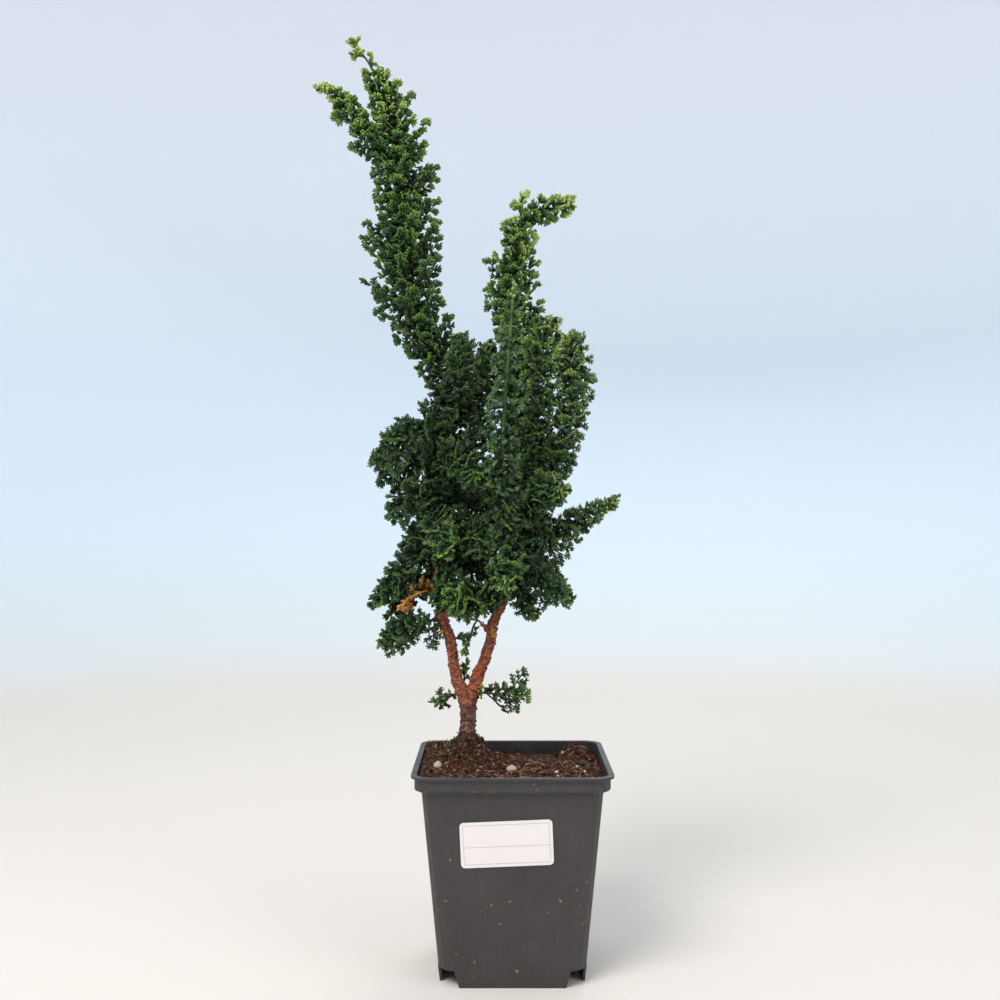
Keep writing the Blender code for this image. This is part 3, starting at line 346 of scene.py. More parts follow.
# Small twigs whose branchlets stand apart: only every so many twigs are grown
OPEN_TWIGS = {"twig_low_right": 1, "twig_low_left": 1, "twig_hanging": 2, "twig_fork": 2,
              "twig_behind": 3, "dead_twig_left": 3}

# Towards the tips of these stems only every second twig is grown, and without its shade
OPEN_TIPS = ("plume_left", "leader_back")
OPEN_TIP_FROM = 0.86

# Little yellow buds on the bark: x, height, depth, in millimetres
BUD_PLACES = ((7.4, 153, -6), (8.4, 156, -5), (14.8, 189, -8), (15.6, 186, -8), (-15.0, 188, -2))

# Twigs that the bare wood bears inside the crown: limb, where they start and end along it,
# and how far they stand out to the left, right, front and back
INNER_SHOOTS = (("left", 0.5, 0.99, (16, 22, 16, 18)), ("right", 0.5, 0.98, (22, 14, 14, 16)))
# Their look has little young growth, so they are painted dark as the shade inside the crown
INNER_LOOK = (0.1, 0.2, 0.3, 0.6)

# Routes of leafy shoots across the inside of the crown: x, height, depth, in millimetres
CROSSING_SHOOTS = (
    ((-14.0, 262, 8), (-3.0, 264, 10), (10.0, 263, 8), (20.0, 260, 6)),
    ((-10.0, 248, 10), (4.0, 248, 12), (14.0, 248, 8), (22.0, 246, 6)),
    ((-17.0, 222, 8), (-3.0, 226, 10), (12.0, 222, 8), (28.0, 217, 6)),
    ((-17.6, 224, 6), (-25.0, 217, 7), (-34.0, 211, 6), (-43.0, 205, 4)),
    ((-22.0, 291, 6), (-30.0, 287, 4), (-38.0, 283, 2), (-44.0, 279, 0)),
)
CROSSING_REACH = (13, 13, 12, 12)

# Leafy shoots in front that have no solid in the CAD: route, reach and look
FRONT_SHOOTS = {
    "hanging_spray": dict(
        route=[(-17.0, 258, 0), (-17.5, 252, -14), (-15.0, 243, -28), (-12.0, 234, -40)],
        reach=[(8.8, 8.8, 9, 9), (11, 11, 10, 10), (4, 4, 4, 4)],
        look=(0.42, 0.6, 0.9, 0.3),
    ),
    "limb_spray": dict(
        route=[(-13.5, 217, -6), (-14.0, 210, -14), (-13.0, 203, -22)],
        reach=[(7.2, 8.8, 9, 9), (9, 11, 9, 9), (4, 4, 4, 4)],
        look=(0.24, 0.15, 0.4, 0.3),
    ),
}

# The stems of all these shoots, which are strings of rods
SHOOT_RADIUS = 0.8 * MM
SHOOT_PART = 8

# Bark, its loose flakes, how many fingers make a cluster of buds, and how deep flakes and
# moss are rooted
BARK_GRAIN = 0.62 * MM
BARK_SMOOTHING = 6
BARK_THICKNESS = 0.5 * MM
FLAKES_FROM = 124 * MM
FLAKES_TO = 235 * MM
FLAKE_SPACING = 1.0 * MM
FLAKES_ROUND = 3
BUD_FINGERS = 12
ROOT_DEPTH = 0.3 * MM

# Soil: its mesh, the mound round the trunk's foot, and the bank at the pot's left wall
SOIL_POINTS = 300
SOIL_RINGS = 52
MOUND_RISE = 4.5 * MM
MOUND_RADIUS = 10 * MM
BANK_RISE = 4.5 * MM
BANK_EDGE = -8 * MM
BANK_WIDTH = 14 * MM

# Waves of the soil, as in the CAD: direction and size. Its crumbs: how fine, which layer of
# the noise, and how high in millimetres
SOIL_WAVES = ((0.4, 0.006), (1.9, 0.0043), (3.1, 0.0032), (5.0, 0.0024))
CRUMBS = ((260, 0, 1.8), (700, 3, 1.7), (1500, 7, 0.7))
CRUMB_SINK = 0.1

# What lies on the soil, clear of the wall and the trunk. The perlite's places are x, y and
# radius, in millimetres
WALL_CLEARANCE = 3 * MM
TRUNK_CLEARANCE = 8 * MM
CRUMB_COUNT = 420
PERLITE_COUNT = 44
PERLITE_PLACES = ((26, -20, 3.0), (-16, -25, 2.4), (-21, -36, 1.6))
SHRED_COUNT = 760
SHRED_STATIONS = 5
FIBRE_COUNT = 170
FIBRE_PARTS = 5
MOSS_COUNT = 620
BANK_MOSS_COUNT = 520
SPRIG_COUNT = 26
SPRIG_PLACE = (70 * MM, -20 * MM)
SPRIG_SPREAD = 1.4 * MM

# Edges of the pot, and the printed frame on the label. The cross rule's height is a share of
# half the frame
EDGE_ROUNDING = 0.3 * MM
EDGE_ANGLE = math.radians(35)
RULE_INSET = 1.8 * MM
RULE_HALF = 0.16 * MM
RULE_THICKNESS = 0.05 * MM
CROSS_RULE = -0.12

# Camera, with its film in millimetres
CAMERA_LENS = 45.65
CAMERA_FILM = 36.0
CAMERA_NEAR = 0.01
CAMERA_TILT = math.radians(90.18)

# Backdrop, a bowl in metres, whose colour changes up to the last height
BOWL_FLOOR = (0.0, 0.35, 0.7, 1.0)
BOWL_CURVE = 1.0
BOWL_STEPS = 12
BOWL_WALL = (1.6, 2.4)
BOWL_SIDES = 96
BOWL_SHADED_TO = 1.2

# Light from the sky, and the point that the lamps face
SKY_COLOUR = (0.92, 0.95, 1.0, 1.0)
SKY_STRENGTH = 0.52
LIGHT_TARGET = Vector((0.0, 0.0, 0.25))


# Routes of stems, as in the CAD


def in_space(x, height, depth):
    """The point at this depth that is seen from the eye point at (x, height) by the trunk."""
    seen = Vector((x, 0.0, height)) * MM
    return EYE + (seen - EYE) * ((depth * MM - EYE.y) / -EYE.y)


def route_in_space(rows):
    """The points of a route whose rows begin with x, height and depth."""
    return [in_space(*row[:3]) for row in rows]


def smooth_route(points, spacing=CURVE_SPACING):
    """Points about this far apart on a smooth curve through the given points."""
    ends = [points[0] * 2 - points[1], *points, points[-1] * 2 - points[-2]]
    fine = 12
    dense = []
    for a, b, c, d in zip(ends, ends[1:], ends[2:], ends[3:]):
        for i in range(fine):
            t = i / fine
            dense.append(
                0.5 * (2 * b + (c - a) * t + (2 * a - 5 * b + 4 * c - d) * t**2
                       + (3 * b - a - 3 * c + d) * t**3)
            )
    dense.append(points[-1])
    along = [0.0]
    for a, b in zip(dense, dense[1:]):
        along.append(along[-1] + (b - a).length)
    count = max(3, round(along[-1] / spacing) + 1)
    wanted = np.linspace(0, along[-1], count)
    columns = [np.interp(wanted, along, [p[axis] for p in dense]) for axis in range(3)]
    return [Vector(p) for p in zip(*columns)]


def blend_along(rows, share):
    """The row of numbers at this share of the way through evenly spaced rows."""
    place = share * (len(rows) - 1)
    low = min(int(place), len(rows) - 2)
    part = place - low
    return [a + (b - a) * part for a, b in zip(rows[low], rows[low + 1])]


def around(first, second, turn):
    """The direction this far round from the first one towards the second."""
    return first * math.cos(turn) + second * math.sin(turn)


def hands(direction):
    """Left hand, as seen by the viewer, and front, for one who walks in this direction."""
    left = direction.cross(Vector((0, 1, 0)))
    left = left.normalized() if left.length > 0.2 else Vector((-1, 0, 0))
    front = left.cross(direction).normalized()
    return left, front if front.y < 0 or abs(direction.y) > 0.97 else -front


def nearest_on(route, radii, point):
    """The nearest point to this one on a route, and the radius there."""
    best = None
    for a, b, r, s in zip(route, route[1:], radii, radii[1:]):
        line = b - a
        share = min(max((point - a).dot(line) / line.length_squared, 0), 1)
        near = a + line * share
        if best is None or (near - point).length < (best[0] - point).length:
            best = (near, r + (s - r) * share)
    return best


class Stem:
    """A route that bears twigs by the CAD's rule."""

    def __init__(self, name, fine, reach, droop=0.0, dead=False):
        self.name, self.fine, self.reach, self.droop, self.dead = name, fine, reach, droop, dead
        self.length = sum((b - a).length for a, b in zip(fine, fine[1:]))

    def at(self, share):
        """Point and direction this share of the way along."""
        place = share * (len(self.fine) - 1)
        low = min(int(place), len(self.fine) - 2)
        a, b = self.fine[low], self.fine[low + 1]
        ahead = self.fine[min(low + 4, len(self.fine) - 1)]
        behind = self.fine[max(low - 4, 0)]
        return a + (b - a) * (place - low), (ahead - behind).normalized()

    def twig(self, number, count):
        """Start, end and side direction of a twig, each a golden angle on from the last."""
        rng = random.Random(f"{self.name} {number}")
        share = (number + 0.5) / count
        turn = number * GOLDEN_ANGLE + rng.uniform(-0.25, 0.25)
        point, direction = self.at(share)
        left, front = hands(direction)
        to_left, to_right, to_front, to_back = blend_along(self.reach, share)
        wide = to_left if math.cos(turn) > 0 else to_right
        deep = to_front if math.sin(turn) > 0 else to_back
        reach = MM / math.hypot(math.cos(turn) / wide, math.sin(turn) / deep)
        reach *= rng.uniform(0.84, 1.0)
        outward = around(left, front, turn)
        along = direction * (TWIG_LEAN + rng.uniform(-0.15, 0.2)) * (1 - self.droop)
        along += Vector((0, 0, -self.droop * 0.6 + rng.uniform(-0.1, 0.1)))
        end = point + (outward + along) * reach
        round_stem = (end - point).cross(direction).normalized()
        with_stem = round_stem.cross(end - point).normalized()
        roll = math.radians(rng.uniform(0, 45) + 45 * abs(math.cos(turn))) * rng.choice((1, -1))
        across = around(round_stem, with_stem, roll)
        return point, end, across, rng

    def count(self):
        return max(3, int(self.length / TWIG_STEP))


class LeafyStem(Stem):
    """A stem as in the CAD, from what it grows from to its tip."""

    def __init__(self, name, route, reach, on="trunk", droop=0.0, dead=False):
        given = route_in_space(route)
        if on == "trunk":
            limbs = [nearest_on(route_in_space(rows), [row[3] * MM for row in rows], given[0])
                     for rows in WOOD.values()]
            root, radius = min(limbs, key=lambda found: (found[0] - given[0]).length)
        else:
            points = route_in_space(LEAFY_STEMS[on]["route"])
            root, radius = nearest_on(points, [STEM_RADIUS] * len(points), given[0])
        self.whole = smooth_route([root, *given])
        fine = [p for p in self.whole if (p - root).length > radius + STEM_CLEARANCE]
        super().__init__(name, fine, reach, droop, dead)


# Foliage meshes


class Growth:
    """Fingers and rods of one piece, kept as rows until its mesh is made."""

    def __init__(self):
        self.fingers, self.rods = [], []

    def finger(self, root, heading, across, length, width, tone, bend):
        self.fingers.append((*root, *heading, *across, length, width, tone, bend))

    def rod(self, start, end, radius, far_radius, tone, wood):
        self.rods.append((*start, *end, radius, far_radius, tone, wood))


def finger_template():
    """Points (along, across, up) of a blunt finger, and its triangles."""
    points = [(0.0, 0.0, 0.0)]
    for along, wide in FINGER_PROFILE:
        for side in range(FINGER_SIDES):
            turn = 2 * math.pi * side / FINGER_SIDES
            points.append((along, math.cos(turn) * wide, math.sin(turn) * wide))
    points.append((1.0, 0.0, 0.0))
    faces = band_faces(FINGER_SIDES, len(FINGER_PROFILE), 1)
    last = len(points) - 1
    for side in range(FINGER_SIDES):
        after = (side + 1) % FINGER_SIDES
        faces.append((0, 1 + after, 1 + side))
        faces.append((last, last - FINGER_SIDES + side, last - FINGER_SIDES + after))
    return np.array(points), np.array(faces)


def band_faces(sides, rings, first):
    """Triangles between each ring of points and the next."""
    faces = []
    for ring in range(rings - 1):
        for side in range(sides):
            a = first + ring * sides + side
            b = first + ring * sides + (side + 1) % sides
            faces.append((a, b, b + sides))
            faces.append((a, b + sides, a + sides))
    return faces


def unit(rows):
    return rows / np.maximum(np.linalg.norm(rows, axis=1, keepdims=True), 1e-9)


def repeated(faces, count, size):
    """The triangles of this many copies of a form that has this many points."""
    return (faces[None] + np.arange(count)[:, None, None] * size).reshape(-1, 3)


def finger_points(rows):
    """Points, triangles and attributes of all the fingers."""
    template, faces = finger_template()
    rows = np.array(rows)
    root, heading = rows[:, 0:3], unit(rows[:, 3:6])
    across = rows[:, 6:9]
    across = unit(across - heading * np.sum(across * heading, axis=1, keepdims=True))
    up = np.cross(heading, across)
    length, width, _, bend = (rows[:, i][:, None, None] for i in range(9, 13))
    along, wide, high = (template[:, i][None, :, None] for i in range(3))
    points = root[:, None] + heading[:, None] * along * length
    points = points + across[:, None] * wide * width / 2
    points = points + up[:, None] * (high * FINGER_THICKNESS / 2 * width / FINGER_WIDTH
                                     + bend * along**2 * length)
    count, size = points.shape[:2]
    places = np.tile(template[:, 0], (count, 1))
    return points.reshape(-1, 3), repeated(faces, count, size), {
        "tip": places.reshape(-1),
        "scale": (places * rows[:, 9:10]).reshape(-1) * 1000,
        "tone": np.repeat(rows[:, 11], size),
        "wood": np.zeros(count * size),
    }


def rod_points(rows):
    """Points, triangles and attributes of all the thin rods, which have four sides."""
    rows = np.array(rows)
    start, end = rows[:, 0:3], rows[:, 3:6]
    heading = unit(end - start)
    helper = np.where(np.abs(heading[:, 2:3]) < 0.9, [[0.0, 0.0, 1.0]], [[1.0, 0.0, 0.0]])
    side = unit(np.cross(heading, helper))
    other = np.cross(heading, side)
    corners = []
    for middle, radius in ((start, rows[:, 6:7]), (end, rows[:, 7:8])):
        for a, b in ((1, 0), (0, 1), (-1, 0), (0, -1)):
            corners.append(middle + (side * a + other * b) * radius)
    points = np.stack(corners, axis=1)
    faces = np.array([*band_faces(4, 2, 0), (0, 2, 1), (0, 3, 2), (4, 5, 6), (4, 6, 7)])
    count, size = points.shape[:2]
    return points.reshape(-1, 3), repeated(faces, count, size), {
        "tip": np.full(count * size, 0.15),
        "scale": np.zeros(count * size),
        "tone": np.repeat(rows[:, 8], size),
        "wood": np.repeat(rows[:, 9], size),
    }


def stem_tube(stem, radius, far_radius, woody):
    """The stem itself as a closed tube, from inside what it grows from to its tip."""
    route = stem.whole[::STEM_PART]
    if (route[-1] - stem.whole[-1]).length > 0:
        route.append(stem.whole[-1])
    points, shares = [], []
    side = Vector((0.0, 1.0, 0.0))
    for i, point in enumerate(route):
        heading = route[min(i + 1, len(route) - 1)] - route[max(i - 1, 0)]
        other = heading.cross(side).normalized()
        side = other.cross(heading).normalized()
        share = i / (len(route) - 1)
        thick = radius + (far_radius - radius) * share
        for step in range(STEM_SIDES):
            turn = 2 * math.pi * step / STEM_SIDES
            points.append(point + around(side, other, turn) * thick)
            shares.append(share)
    faces = band_faces(STEM_SIDES, len(route), 0)
    last = len(points) - STEM_SIDES
    for step in range(1, STEM_SIDES - 1):
        faces.append((0, step + 1, step))
        faces.append((last, last + step, last + step + 1))
    shares = np.array(shares)
    return np.array(points), np.array(faces), {
        "tip": np.full(len(points), 0.2),
        "scale": np.zeros(len(points)),
        "tone": 0.26 + 0.4 * shares,
        "wood": np.clip((woody - shares) * 3 + 0.5, 0, 1) if woody > 0 else shares * 0,
    }


def add_object(name, data):
    """A new object in the scene, of this mesh, camera or light."""
    obj = bpy.data.objects.new(name, data)
    bpy.context.scene.collection.objects.link(obj)
    return obj


def dress(obj, material):
    """Give a piece its material and its body."""
    obj.data.materials.append(material)
    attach(obj, "root")
    return obj


def add_piece(name, parts, material):
    """One smooth piece from parts of (points, triangles, attributes)."""
    points = np.concatenate([part[0] for part in parts])
    starts = np.cumsum([0] + [len(part[0]) for part in parts[:-1]])
    faces = np.concatenate([part[1] + start for part, start in zip(parts, starts)])
    mesh = bpy.data.meshes.new(name)
    mesh.from_pydata(points.tolist(), [], faces.tolist())
    for key in parts[0][2]:
        values = np.concatenate([part[2][key] for part in parts])
        attribute = mesh.attributes.new(key, "FLOAT", "POINT")
        attribute.data.foreach_set("value", values.astype(np.float32))
    mesh.shade_smooth()
    return dress(add_object(name, mesh), material)


def add_foliage(name, parts, blooms, material):
    """One piece of foliage, each part of it with its share of bluish bloom."""
    for (points, _, attributes), bloom in zip(parts, blooms):
        attributes["cool"] = np.full(len(points), bloom)
    return add_piece(name, parts, material)


def grow_branchlet(growth, root, heading, across, size, width, tone, rng, feathery):
    """A finger with shorter fingers forking off on both sides, all in one plane."""
    bend = rng.uniform(*FINGER_BEND)
    growth.finger(root, heading, across, size, width, tone, bend)
    pairs = min(max(round(size / PAIR_SPACING), 1), MOST_PAIRS)
    for i in range(pairs):
        share = 0.15 + 0.62 * (i + 0.3) / pairs
        for side in (1, -1):
            turn = rng.uniform(*FORK_ANGLES) * side
            fork = around(heading, across, turn)
            length = min(FINGER_LENGTH * (1 - 0.3 * feathery), size * 0.6) * (1.1 - 0.4 * share)
            start = root + heading * size * (share + rng.uniform(-0.05, 0.05))
            growth.finger(start, fork, around(across, -heading, turn),
                          length * rng.uniform(0.8, 1.1), width * rng.uniform(0.75, 0.95),
                          tone + rng.uniform(-0.08, 0.08), bend)


def grow_spray(growth, stem, number, count, look, step):
    """A spray on its twig, where the CAD has its lobed plate: flat, or bushy all round."""
    start, end, across, rng = stem.twig(number, count)
    young, _, feathery, woody = look
    length = max((end - start).length, TWIG_SHORTEST)
    direction = (end - start).normalized()
    normal = direction.cross(across)
    if normal.z < 0:
        normal = -normal
    share = (number + 0.5) / count
    tone = young * (0.4 + 0.9 * share**2) + rng.uniform(-0.15, 0.15)
    end = start + direction * length
    growth.rod(start, end, *TWIG_RADII, tone, 0.6 * woody * (1 - share))
    place = max(FIRST_BRANCHLET * length, BARE_START)
    side = rng.choice((1, -1))
    width = FINGER_WIDTH * (1 - 0.4 * feathery)
    roll_range = BUSHY_TURN + (FLAT_TURN - BUSHY_TURN) * feathery
    while place < length - BARE_END:
        rest = length - place
        angle = LOBE_ANGLE * rng.uniform(0.8, 1.15)
        roll = rng.uniform(-roll_range, roll_range)
        sideways = around(across, normal, roll) * side
        heading = around(direction, sideways, angle)
        heading = (heading + normal * rng.uniform(-0.05, 0.2)).normalized()
        size = min(BRANCHLET_SIZE * (1 + 0.45 * feathery), 0.55 * rest + 3.0 * MM)
        size *= rng.uniform(0.75, 1.05)
        flat = around(sideways, -direction, angle)
        grow_branchlet(growth, start + direction * place, heading, flat,
                       min(size, 0.8 * length), width, tone + rng.uniform(-0.1, 0.1), rng,
                       feathery)
        place += step * (1 + 0.12 * feathery) * rng.uniform(0.8, 1.2)
        side = -side
    crown = min(CROWN_SIZE, 0.6 * length)
    grow_branchlet(growth, end - direction * crown, direction, across, crown, width,
                   tone + 0.1, rng, feathery)


def grow_shade(growth, stem, number, count):
    """Broad leaves along the inner part of a twig, painted dark as shade, which close the crown
    behind.
    """
    start, end, across, rng = stem.twig(number, count)
    length = (end - start).length
    direction = (end - start).normalized()
    normal = direction.cross(across)
    place = SHADE_FROM
    while place < SHADE_FAR * length:
        turn = rng.uniform(0, 2 * math.pi)
        sideways = around(across, normal, turn)
        heading = (direction * rng.uniform(0.2, 0.9) + sideways).normalized()
        flat = heading.cross(Vector((rng.uniform(-1, 1), rng.uniform(-1, 1), 0.5)))
        growth.finger(start + direction * place, heading, flat,
                      min(SHADE_LENGTH, 0.5 * length) * rng.uniform(0.7, 1.0),
                      SHADE_WIDTH * rng.uniform(0.8, 1.0),
                      PAINTED_SHADE_TONE + rng.uniform(-0.05, 0.1), 0.1)
        place += SHADE_STEP * rng.uniform(0.8, 1.2)


def grow_tip(growth, stem, look):
    """Round buds crowded at the very tip of the stem."""
    point, direction = stem.at(1.0)
    left, front = hands(direction)
    rng = random.Random(stem.name + " tip")
    for i in range(TIP_BUDS):
        turn = i * GOLDEN_ANGLE
        lean = 0.25 + 0.12 * i
        heading = direction + around(left, front, turn) * lean
        root = point - direction * (TIP_BUD_SPACING * i)
        growth.finger(root, heading.normalized(), front, TIP_BUD_LENGTH, TIP_BUD_WIDTH,
                      look[0] + 0.25 + rng.uniform(-0.05, 0.1), 0.1)


def make_leafy_stem(name, looks):
    """The finer form of one of the CAD's leafy stems, which it replaces."""
    stem = LeafyStem(name, **LEAFY_STEMS[name])
    look = STEM_LOOKS.get(name, PLAIN_LOOK)
    growth = Growth()
    count = stem.count()
    step = LONG_STEM_STEP if stem.length > LONG_STEM else BRANCHLET_STEP
    apart = OPEN_TWIGS.get(name, 1)
    for number in range(apart // 2, count, apart):
        start, end, _, _ = stem.twig(number, count)
        to_front = (start - end).normalized().y
        if name in BARE_FRONT and to_front > BARE_SHARE and number > BARE_FROM * count:
            continue
        tip = name in OPEN_TIPS and number > OPEN_TIP_FROM * count
        if tip and number % 2:
            continue
        grow_spray(growth, stem, number, count, look, step)
        if name not in OPEN_TWIGS and not tip:
            grow_shade(growth, stem, number, count)
    grow_tip(growth, stem, look)
    radius = STEM_RADIUS if stem.length > SHORT_STEM else STEM_RADIUS * SHORT_STEM_SHARE
    if name in OPEN_TWIGS:
        radius = THIN_TWIG_RADIUS
    far_radius = BARE_TIP_RADIUS if name in BARE_FRONT else STEM_TIP_RADIUS
    parts = [
        stem_tube(stem, radius, far_radius, look[3]),
        finger_points(growth.fingers),
        rod_points(growth.rods),
    ]
    slot = "dead_leaf" if stem.dead else "leaf"
    obj = add_foliage(name + "_foliage", parts, (0.0, look[1], 0.0), looks[slot])
    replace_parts(obj, name)


def grow_shoot(growth, stem, look, every, step, tone, wood):
    """A shoot with no solid in the CAD: shade on each twig, and a spray on every so many."""
    count = stem.count()
    for number in range(count):
        grow_shade(growth, stem, number, count)
        if number % every == every - 1:
            grow_spray(growth, stem, number, count, look, step)
    for start, end in zip(stem.fine[::SHOOT_PART], stem.fine[SHOOT_PART::SHOOT_PART]):
        growth.rod(start, end, SHOOT_RADIUS, SHOOT_RADIUS, tone, wood)


def add_shoots(name, growth, bloom, looks):
    parts = [finger_points(growth.fingers), rod_points(growth.rods)]
    add_foliage(name, parts, (bloom, bloom), looks["leaf"])


def make_inner_shoots(looks):
    """Leafy shoots, painted dark as shade, along the bare wood and across the inside of the crown.
    """
    stems = []
    for limb, first, last, reach in INNER_SHOOTS:
        route = smooth_route(route_in_space(WOOD[limb]))
        fine = route[int(first * len(route)):int(last * len(route))]
        stems.append(Stem(f"inner_{limb}", fine, [reach] * 3))
    for i, route in enumerate(CROSSING_SHOOTS):
        fine = smooth_route(route_in_space(route))
        stems.append(Stem(f"crossing_{i}", fine, [CROSSING_REACH] * 3))
    growth = Growth()
    for stem in stems:
        grow_shoot(growth, stem, INNER_LOOK, 2, LONG_STEM_STEP, 0.1, 1.0)
    add_shoots("inner_foliage", growth, INNER_LOOK[1], looks)


def make_front_shoots(looks):
    """Leafy shoots in front of the wood, each a piece of its own."""
    for name, shoot in FRONT_SHOOTS.items():
        stem = Stem(name, smooth_route(route_in_space(shoot["route"])), shoot["reach"])
        growth = Growth()
        grow_shoot(growth, stem, shoot["look"], 1, BRANCHLET_STEP, 0.2, 0.4)
        add_shoots(name, growth, shoot["look"][1], looks)


# Wood


def rough_at(x, y, z):
    """Blender's noise at this place, from about -1 to 1."""
    return noise.noise(Vector((x, y, z)))


def make_bark(looks):
    """The trunk with its bark: the CAD's wood, finely meshed and roughened into flakes."""
    bark = add_object("trunk_bark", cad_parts["trunk"].data.copy())
    remesh = bark.modifiers.new("remesh", "REMESH")
    remesh.mode = "VOXEL"
    remesh.voxel_size = BARK_GRAIN
    smooth = bark.modifiers.new("smooth", "SMOOTH")
    smooth.iterations = BARK_SMOOTHING
    bpy.context.view_layer.update()
    graph = bpy.context.evaluated_depsgraph_get()
    mesh = bpy.data.meshes.new_from_object(bark.evaluated_get(graph))
    bark.modifiers.clear()
    bark.data = mesh
    raised = []
    for vertex in mesh.vertices:
        x, y, z = vertex.co
        knots = rough_at(x * 130, y * 130, z * 110)
        flakes = rough_at(x * 330, y * 330, z * 460)
        edges = abs(rough_at(x * 620, y * 620, z * 800 + 5))
        rise = BARK_THICKNESS * (0.4 + 0.8 * knots + 1.1 * flakes - 0.7 * edges)
        raised.append(vertex.co + vertex.normal * rise)
    for vertex, place in zip(mesh.vertices, raised):
        vertex.co = place
    mesh.shade_smooth()
    mesh.materials.clear()
    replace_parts(dress(bark, looks["bark"]), "trunk")


def make_bark_flakes(looks):
    """Small loose flakes that stand up from the bark of the bare stems."""
    growth = Growth()
    rng = random.Random(21)
    for rows in WOOD.values():
        given = route_in_space(rows)
        points = smooth_route(given, FLAKE_SPACING)
        radii = [nearest_on(given, [row[3] for row in rows], point)[1] for point in points]
        for i in range(2, len(points) - 1):
            if not FLAKES_FROM < points[i].z < FLAKES_TO:
                continue
            direction = (points[i + 1] - points[i - 1]).normalized()
            left, front = hands(direction)
            for _ in range(FLAKES_ROUND):
                turn = rng.uniform(0, 2 * math.pi)
                outward = around(left, front, turn)
                side = direction.cross(outward)
                heading = direction * rng.choice((1, 1, -1)) + outward * rng.uniform(0.1, 0.7)
                root = points[i] + outward * (radii[i] * MM - ROOT_DEPTH)
                growth.finger(root, heading, side, rng.uniform(1.0, 1.9) * MM,
                              rng.uniform(0.8, 1.4) * MM, rng.uniform(0, 1), 0.1)
    add_piece("bark_flakes", [finger_points(growth.fingers)], looks["bark"])


def make_buds(looks):
    """Little clusters of dry yellow buds on the bark."""
    growth = Growth()
    rng = random.Random(23)
    for place in BUD_PLACES:
        middle = in_space(*place)
        for _ in range(BUD_FINGERS):
            heading = Vector([rng.uniform(-1, 1) for _ in range(3)]).normalized()
            growth.finger(middle - heading * 0.3 * MM, heading, heading.orthogonal(),
                          rng.uniform(1.6, 2.8) * MM, rng.uniform(1.0, 1.5) * MM, 0.5, 0.1)
    add_piece("yellow_buds", [finger_points(growth.fingers)], looks["buds"])


# Soil


def soil_height(x, y):
    """Height of the soil's surface, as in the CAD: level, heaped here and there, and lumpy."""
    z = SOIL_LEVEL
    for heap_x, heap_y, height, radius in HEAPS:
        away = ((x - heap_x) ** 2 + (y - heap_y) ** 2) / radius**2
        z += height * math.exp(-away)
    for turn, size in SOIL_WAVES:
        along = (x * math.cos(turn) + y * math.sin(turn)) / size
        across = (y * math.cos(turn) - x * math.sin(turn)) / size
        z += SOIL_ROUGHNESS * 0.5 * math.sin(along + turn) * math.sin(across * 1.3 + turn)
    return z


def crumbled_height(x, y):
    """The soil's surface with its crumbs, banked up towards the pot's left wall."""
    bank = BANK_RISE * min(max((BANK_EDGE - x) / BANK_WIDTH, 0), 1)
    bank += MOUND_RISE * math.exp(-(x * x + y * y) / MOUND_RADIUS**2)
    crumbs = sum(high * rough_at(x * fine, y * fine, layer) for fine, layer, high in CRUMBS)
    return soil_height(x, y) + bank + (crumbs - CRUMB_SINK) * MM


def square_ring(half, corner, z, count):
    """Evenly spaced points round a square with rounded corners, centred on the pot."""
    corners = []
    for quarter in range(4):
        middle = math.pi / 4 + quarter * math.pi / 2
        centre = Vector((math.cos(middle), math.sin(middle), 0)) * (half - corner) * math.sqrt(2)
        for step in range(7):
            turn = middle - math.pi / 4 + step * math.pi / 12
            corners.append(centre + Vector((math.cos(turn), math.sin(turn), 0)) * corner)
    corners.append(corners[0])
    along = np.cumsum([0] + [(b - a).length for a, b in zip(corners, corners[1:])])
    wanted = np.linspace(0, along[-1], count, endpoint=False)
    columns = [np.interp(wanted, along, [p[axis] for p in corners]) for axis in range(2)]
    return [POT_CENTRE + Vector((x, y, z)) for x, y in zip(*columns)]


def wall_half(z):
    """Half the outside width of the pot's wall at this height."""
    share = (z - FOOT_HEIGHT) / (BAND_BOTTOM - FOOT_HEIGHT)
    return WALL_BOTTOM_HALF + (WALL_TOP_HALF - WALL_BOTTOM_HALF) * share


def make_soil_body(looks):
    """The soil as one closed body: plain sides, and a finely crumbled top."""
    side = WALL + FIT_GAP
    floor = FOOT_HEIGHT + FLOOR_THICKNESS + FIT_GAP
    edge = BAND_BOTTOM - WALL
    ledge = BAND_BOTTOM + WALL + FIT_GAP
    rim = BAND_HALF - side
    rings = [
        square_ring(wall_half(floor) - side, CORNER, floor, SOIL_POINTS),
        square_ring(wall_half(edge) - side, CORNER, edge, SOIL_POINTS),
        square_ring(wall_half(edge) - side, CORNER, ledge, SOIL_POINTS),
        square_ring(rim, CORNER, ledge, SOIL_POINTS),
    ]
    for i in range(SOIL_RINGS):
        share = 1 - i / SOIL_RINGS
        ring = square_ring(rim * share, CORNER * share, 0.0, SOIL_POINTS)
        for point in ring:
            point.z = max(crumbled_height(point.x, point.y), ledge + FIT_GAP)
        rings.append(ring)
    points = [point for ring in rings for point in ring]
    faces = band_faces(SOIL_POINTS, len(rings), 0)
    low, high = len(points), len(points) + 1
    points += [POT_CENTRE + Vector((0, 0, floor)),
               POT_CENTRE + Vector((0, 0, crumbled_height(POT_CENTRE.x, POT_CENTRE.y)))]
    last = low - SOIL_POINTS
    for i in range(SOIL_POINTS):
        after = (i + 1) % SOIL_POINTS
        faces.append((low, after, i))
        faces.append((high, last + i, last + after))
    parts = [(np.array(points), np.array(faces), {})]
    surface = add_piece("soil_surface", parts, looks["potting_soil"])
    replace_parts(surface, "soil")


